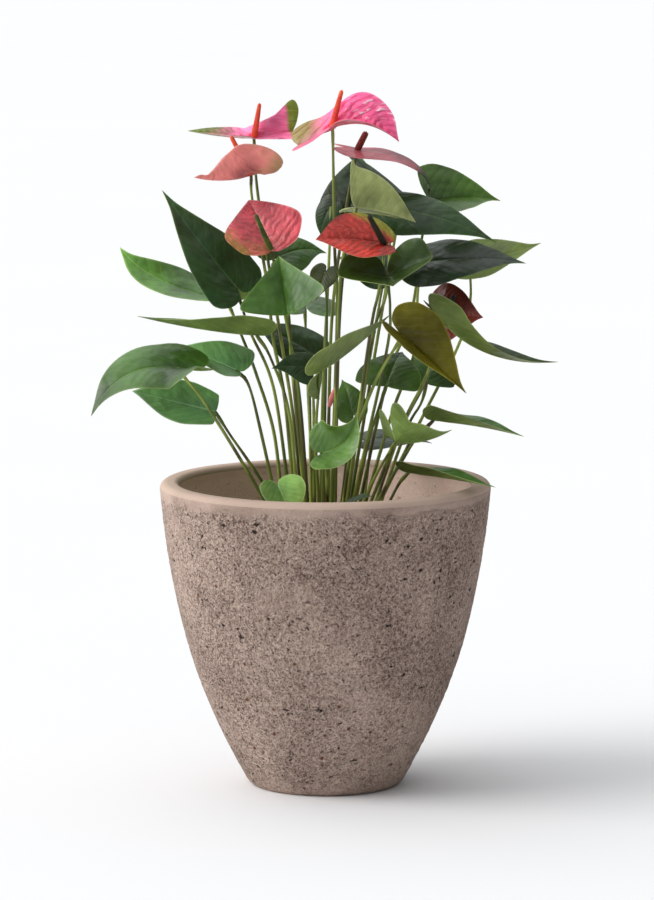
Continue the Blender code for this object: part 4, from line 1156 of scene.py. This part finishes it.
def spadix_mesh(bloom, base, upper):
    """A blunt, slightly bowed spadix that stands on its spathe, beaded all round."""
    top = np.array(bloom.spadix_top, dtype=float)
    length = np.linalg.norm(top - base)
    thick, thin = (radius - FLORET * 0.5 for radius in bloom.spadix_radius)
    shares = np.linspace(0, 1, SPADIX_STEPS)
    blunt = np.clip(1 - (1 - shares) * length / BLUNT_END, 0, 1)
    girth = (thick + (thin - thick) * shares) * np.sqrt(np.clip(1 - blunt ** 2, 0.02, 1))
    girth = girth * (1 - WAIST_THINNING * hump(shares * length, WAIST_LENGTH))
    bow = np.cross(upper, unit(top - base)) * length * SPADIX_BOW
    path = [base + (top - base) * share + bow * math.sin(math.pi * share) for share in shares]
    return grown(path_mesh(path, girth), SPADIX_FLORETS, {
        "Rows": round(length / (FLORET * FLORET_ROWS)), "Round": SPADIX_ROUND,
        "Floret Size": FLORET * MM * FLORET_OVERLAP, "Thickest": thick * MM,
        "Material": SPADIX_SKINS[bloom.colours[1]]})


def make_bloom(bloom):
    spathe = blade_mesh(bloom.blade, bloom.outline, SPATHE_GRID, SPATHE_THICKNESS, SPATHE_BOSS,
                        SPATHE_CREASES, SPATHE_SLANT, BLOOM_FINISHES[bloom.name].pucker * CREASE_HEIGHT)
    place_piece(bloom.name + "_spathe_grown", merged([spathe], BLOOM_SKINS[bloom.name], [None]),
                bloom.name + "_spathe")
    joint = np.array(bloom.blade.joint, dtype=float)
    upper = blade_frame(bloom.blade, 0.0)[2][0]
    end = joint - upper * SPATHE_THICKNESS / 2
    place_stalk(bloom.name + "_stalk", stalk_mesh(bloom.root, bloom.via, end, BLOOM_JOINT_SWELLING))
    beads = spadix_mesh(bloom, joint + upper * SPATHE_THICKNESS / 4, upper)
    place_piece(bloom.name + "_spadix_grown", beads, bloom.name + "_spadix")


def ring_faces(rings, sides, first=0):
    """Quads between rings of points, one ring after another from the first point on."""
    faces = []
    for low in range(first, first + (rings - 1) * sides, sides):
        for side in range(sides):
            after = (side + 1) % sides
            faces.append((low + side, low + after, low + sides + after, low + sides + side))
    return faces


def make_bud():
    """The rolled young bloom: a spindle with the edge of its roll winding round it."""
    base, tip = np.array(BUD_BASE, dtype=float), np.array(BUD_TIP, dtype=float)
    place_stalk("bud_stalk", stalk_mesh(BUD_ROOT, (), base, 0.0))
    axis = unit(tip - base)
    across = unit(np.cross(axis, (0, 1, 0)))
    other = np.cross(axis, across)
    rings, sides = BUD_GRID
    points = []
    for share in np.arange(rings) / (rings - 1):
        bulge = BUD_FOOT + BUD_BULGE * math.sin(math.pi * min(share * 0.95 + 0.12, 1.0))
        size = BUD_RADIUS * bulge * (1 - share ** 4 * BUD_TAPER)
        for side in range(sides):
            turn = 2 * math.pi * side / sides
            roll = 1 + ((side / sides + share * BUD_WINDING) % 1.0 - 0.5) * BUD_ROLL
            outward = across * math.cos(turn) + other * math.sin(turn)
            points.append(base + (tip - base) * share + outward * size * roll)
    faces = ring_faces(rings, sides)
    faces += [tuple(reversed(range(sides))), tuple(range((rings - 1) * sides, rings * sides))]
    mesh = bpy.data.meshes.new("bud")
    mesh.from_pydata((np.array(points) * MM).tolist(), [], faces)
    place_piece("bud_grown", merged([mesh], [BUD_SKIN], [0]), "bud")


# The planter and its soil
def arc(centre, radius, start, end, steps):
    """Points of a round stretch of a profile, from one angle to another in degrees."""
    angles = np.radians(np.linspace(start, end, steps))
    return [(centre[0] + radius * math.cos(angle), centre[1] + radius * math.sin(angle)) for angle in angles]


def outer_profile(steps):
    """The planter's outer side, from the turn of its foot up to the rim."""
    rim = (RIM_RADIUS, POT_HEIGHT - LIP_OUTER_ROUND)
    handles = [np.array(point, dtype=float) for point in (FOOT_TURN, BELLY_LOW, BELLY_HIGH, rim)]
    points = []
    for share in np.linspace(0, 1, steps):
        level = handles
        while len(level) > 1:
            level = [a + (b - a) * share for a, b in zip(level, level[1:])]
        points.append(tuple(level[0]))
    return points


SIDE = outer_profile(80)


def inner_radius(height):
    """The cavity's radius at a height, or at each of several heights."""
    outer = np.interp(height, [point[1] for point in SIDE], [point[0] for point in SIDE])
    return np.maximum(outer - WALL_THICKNESS, FLOOR_RADIUS)


def wall_middle(height):
    """The radius of the middle of the planter's wall."""
    return inner_radius(height) + WALL_THICKNESS / 2


def turned_mesh(profile, sides, relief=None):
    """A closed mesh of a profile turned about Z; its first and last points are on the axis."""
    turns = 2 * np.pi * np.arange(sides) / sides
    rings = np.array(profile[1:-1], dtype=float)
    points = [np.array([[0.0, 0.0, profile[0][1]]])]
    points += [np.column_stack([radius * np.cos(turns), radius * np.sin(turns), np.full(sides, height)])
               for radius, height in rings]
    points = np.concatenate(points + [np.array([[0.0, 0.0, profile[-1][1]]])])
    if relief:
        slopes = np.gradient(rings, axis=0)
        slopes /= np.linalg.norm(slopes, axis=1)[:, None] + 1e-9
        for ring, (slope, (radius, height)) in enumerate(zip(slopes, rings)):
            for side, turn in enumerate(turns):
                index = 1 + ring * sides + side
                outward = np.array([slope[1] * math.cos(turn), slope[1] * math.sin(turn), -slope[0]])
                points[index] += outward * relief(points[index], radius, height)
    last = len(points) - 1
    top = last - sides
    around = [(side, (side + 1) % sides) for side in range(sides)]
    faces = [(0, 1 + after, 1 + side) for side, after in around]
    faces += ring_faces(len(rings), sides, 1)
    faces += [(last, top + side, top + after) for side, after in around]
    mesh = bpy.data.meshes.new("turned")
    mesh.from_pydata((points * MM).tolist(), [], faces)
    return mesh


def limited(value, low, high):
    return min(max(value, low), high)


def stone_relief(point, radius, height):
    """How far the cast skin stands out: grain and pits, but a smoother lip, foot and inner side."""
    rough = INNER_ROUGH
    if radius > wall_middle(height):
        rough = limited((POT_HEIGHT - LIP_BAND - height) / LIP_FADE, LIP_ROUGH, 1.0)
        rough *= limited((height - FOOT_BAND) / FOOT_FADE, FOOT_ROUGH, 1.0)
    place = Vector(point)
    rough *= limited(0.95 - noise.noise(place * WORN_WAVES) * 1.2, 0.35, 1.2)
    grains = sum(noise.noise(place * waves) * size for waves, size in RELIEF_GRAINS)
    distances, centres = noise.voronoi(place * PIT_CELLS)
    chosen = noise.cell(centres[0] * PIT_DRAW_SCALE) > PIT_DRAW
    pit = max(0.0, PIT_REACH - distances[0]) / PIT_REACH if chosen else 0.0
    sway = noise.noise(place * SWAY_WAVES) * SWAY_HEIGHT * limited(height / SWAY_FADE, 0.0, 1.0)
    return (grains - PIT_DEPTH * pit ** 0.6) * rough * RELIEF_HEIGHT + sway


def make_pot():
    lip_inner = RIM_RADIUS - LIP_WIDTH
    outer_centre = (RIM_RADIUS - LIP_OUTER_ROUND, POT_HEIGHT - LIP_OUTER_ROUND)
    inner_centre = (lip_inner + LIP_INNER_ROUND, POT_HEIGHT - LIP_INNER_ROUND)
    base = [(FOOT_RADIUS * share, 0.0) for share in (0.5, 0.9, 1.0)]
    side = [tuple(point) for point in smooth_path(outer_profile(60), POT_PITCH)[:-1]]
    outer_lip = arc(outer_centre, LIP_OUTER_ROUND, 0, 90, 7)
    flat = [(radius, POT_HEIGHT) for radius in np.linspace(outer_centre[0], inner_centre[0], 5)[1:-1]]
    inner_lip = arc(inner_centre, LIP_INNER_ROUND, 90, 180, 7)
    heights = (*np.linspace(POT_HEIGHT - 10, 190, 22), 150, 110, 60)
    inside = [(inner_radius(height), height) for height in heights]
    profile = [(0, 0), *base, *FOOT_ROUND, *side, *outer_lip, *flat, *inner_lip, *inside,
               (FLOOR_RADIUS, FLOOR_HEIGHT), (0, FLOOR_HEIGHT)]
    made = merged([turned_mesh(profile, POT_ROUND, stone_relief)], [POT_STONE, LIP_STONE, LIT_INNER_STONE], [0])
    centres = np.array([face.center for face in made.polygons]) / MM
    heights = centres[:, 2]
    lip = heights > POT_HEIGHT - LIP_SHOWN
    within = np.hypot(centres[:, 0], centres[:, 1]) < wall_middle(heights)
    cavity = ~lip & (heights > FLOOR_HEIGHT - 1) & within
    made.polygons.foreach_set("material_index", (lip + 2 * cavity).astype(np.int32))
    place_piece("pot_cast", made, "pot")


def crumb_ground():
    """The flat ground, just under the soil's top, that the crumbs are strewn over."""
    rings, sides = GROUND_GRID
    points = []
    for ring in range(rings):
        radius = GROUND_START + (inner_radius(SOIL_HEIGHT) - GROUND_MARGIN) * ring / (rings - 1)
        for turn in (2 * math.pi * side / sides for side in range(sides)):
            points.append((radius * math.cos(turn) * MM, radius * math.sin(turn) * MM,
                           (SOIL_HEIGHT - GROUND_SUNK) * MM))
    faces = [(face[0], *face[:0:-1]) for face in ring_faces(rings, sides)]
    ground = bpy.data.meshes.new("ground")
    ground.from_pydata(points, [], faces)
    return ground


def make_soil():
    """Soil filled to a low mound, with crumbs and bark chips over it."""
    side = [(FLOOR_RADIUS - SOIL_SLACK, FLOOR_HEIGHT + SOIL_GAP)]
    side += [(inner_radius(height) - SOIL_SLACK, height) for height in (60, 110, 200)]
    top = [(radius, SOIL_HEIGHT - MOUND + MOUND * math.cos(radius / MOUND_RADIUS * math.pi / 2))
           for radius in np.linspace(inner_radius(SOIL_HEIGHT) - SOIL_SLACK, 3.0, 40)]
    body = turned_mesh([(0, side[0][1]), *side, *top, (0, SOIL_HEIGHT)], SOIL_ROUND)
    crumbs = grown(crumb_ground(), SOIL_CRUMBS, {"Density": CRUMBS_PER_M2, "Seed": 4,
                                                 "Crumb Size": CRUMB * MM, "Material": SOIL_SKIN})
    place_piece("soil_filled", merged([body, crumbs], [SOIL_SKIN], [0, 0]), "soil")


# Floor, light and camera

# How much light the room gives from above, how far that leans to the left and to the back, and how
# much it gives from the left and from all round
SKY_ABOVE, SKY_LEAN, SKY_BACK, SKY_LEFT, SKY_ROUND = 1.00, 0.75, 0.60, 0.85, 0.05
SKY_COLOUR = (0.96, 0.98, 1.0, 1.0)
# The lamp: where it stands and what it looks at, its strength, and how many degrees of sky it fills
KEY_PLACE, KEY_AIM = Vector((-2.5, -0.50, 2.0)), Vector((0, 0, 0.3))
KEY_STRENGTH, KEY_SPREAD = 1.7, 40
KEY_COLOUR = (1.0, 0.985, 0.96)
FLOOR_TONES = (0.845, 0.845, 0.850, 1.0), (0.865, 0.865, 0.869, 1.0)
# The photograph's view: its focal length and its height in pixels, and where the camera stands and
# looks
FOCAL_PIXELS, PICTURE_HEIGHT = 4506, 900
CAMERA_PLACE = (0.0014, -3.8, 0.804)
CAMERA_VIEW = Vector((0, 0.9909, -0.1348))


def turned_to(direction):
    return direction.to_track_quat("-Z", "Y").to_euler()


def make_floor():
    mesh = bpy.data.meshes.new("floor")
    mesh.from_pydata([(-40, -20, 0), (40, -20, 0), (40, 80, 0), (-40, 80, 0)], [], [(0, 1, 2, 3)])
    floor = bpy.data.objects.new("floor", mesh)
    SCENE.collection.objects.link(floor)
    made, tree, shader = new_material("pale_floor")
    colour = blend(tree, body_place(tree).grain(1.5), *FLOOR_TONES)
    feed(tree, shader, {"Base Color": colour, "Roughness": 0.9, "Specular IOR Level": 0.1})
    mesh.materials.append(made)


def make_sky():
    """A white room that is brighter above, behind and to the left."""
    world = bpy.data.worlds.new("studio")
    world.use_nodes = True
    SCENE.world = world
    sky = world.node_tree
    right, back, up = node(sky, "ShaderNodeTexCoord")["Generated"].parts()
    above = calc(sky, "MAXIMUM", up, 0.0) * SKY_ABOVE
    above = above * (1.0 - right * SKY_LEAN) * (back * SKY_BACK + 1.0)
    left = calc(sky, "MAXIMUM", right * -1.0, 0.0) * SKY_LEFT
    feed(sky, sky.nodes["Background"], {"Strength": above + left + SKY_ROUND, "Color": SKY_COLOUR})


def make_key_light():
    """One broad, soft lamp from the upper left."""
    data = bpy.data.lights.new("key", "SUN")
    data.energy = KEY_STRENGTH
    data.color = KEY_COLOUR
    data.angle = math.radians(KEY_SPREAD)
    lamp = bpy.data.objects.new("key", data)
    lamp.location = KEY_PLACE
    lamp.rotation_euler = turned_to(KEY_AIM - KEY_PLACE)
    SCENE.collection.objects.link(lamp)


def make_camera():
    camera = bpy.data.objects.new("camera", bpy.data.cameras.new("camera"))
    SCENE.collection.objects.link(camera)
    camera.data.sensor_width = 36
    camera.data.lens = camera.data.sensor_width * FOCAL_PIXELS / PICTURE_HEIGHT
    camera.data.clip_end = 100
    camera.location = CAMERA_PLACE
    camera.rotation_euler = turned_to(CAMERA_VIEW)
    SCENE.camera = camera
    SCENE.view_settings.view_transform = "Standard"


BLADE_VEINS = blade_veins_group()
PLANT_SKIN = skin_group()
SPATHE_BLUSH = blush_group()
CAST_STONE = stone_group()
STALK_SWEEP = stalk_tree()
SPADIX_FLORETS = spadix_tree()
SOIL_CRUMBS = crumb_tree()

STALK_SKIN = stalk_material()
SOIL_SKIN = soil_material()
# Each stone's colours: light, dark, and the painted shade of its pores
POT_STONE = stone_material("pumice_side", [(216, 191, 176), (100, 79, 69), (48, 36, 30)], 1.0, 0.0050)
LIP_STONE = stone_material("pumice_lip", [(208, 184, 168), (172, 148, 134), (108, 88, 76)], 0.3, 0.0014)
# The inner wall is smoother than the side, and its colours are lighter: painted light on the inner wall
LIT_INNER_STONE = stone_material("pumice_inside_painted_light", [(255, 228, 214), (228, 194, 178), (128, 102, 88)], 0.4, 0.0016)
LEAF_SKINS = {
    shade: (blade_material("leaf_" + shade + "_top", tones[:3], LEAF_TOP),
            blade_material("leaf_" + shade + "_under", tones[3:], LEAF_UNDER))
    for shade, tones in LEAF_FINISHES.items()
}
BLOOM_SKINS = {
    name: (blade_material(name + "_top", finish.top,
                          SPATHE_TOP._replace(quilt=finish.pucker, pucker=finish.pucker), finish.blush),
           blade_material(name + "_under", finish.under, SPATHE_UNDER, finish.blush))
    for name, finish in BLOOM_FINISHES.items()
}
SPADIX_SKINS = {shade: spadix_material("spadix_" + shade, *tones) for shade, tones in SPADIX_FINISHES.items()}
BUD_SKIN = blade_material("bud_roll", BUD_FINISH, BUD_SIDE)

make_floor()
make_sky()
make_key_light()
make_camera()
make_pot()
make_soil()
for each_leaf in LEAVES:
    make_leaf(each_leaf)
for each_bloom in BLOOMS:
    make_bloom(each_bloom)
make_bud()
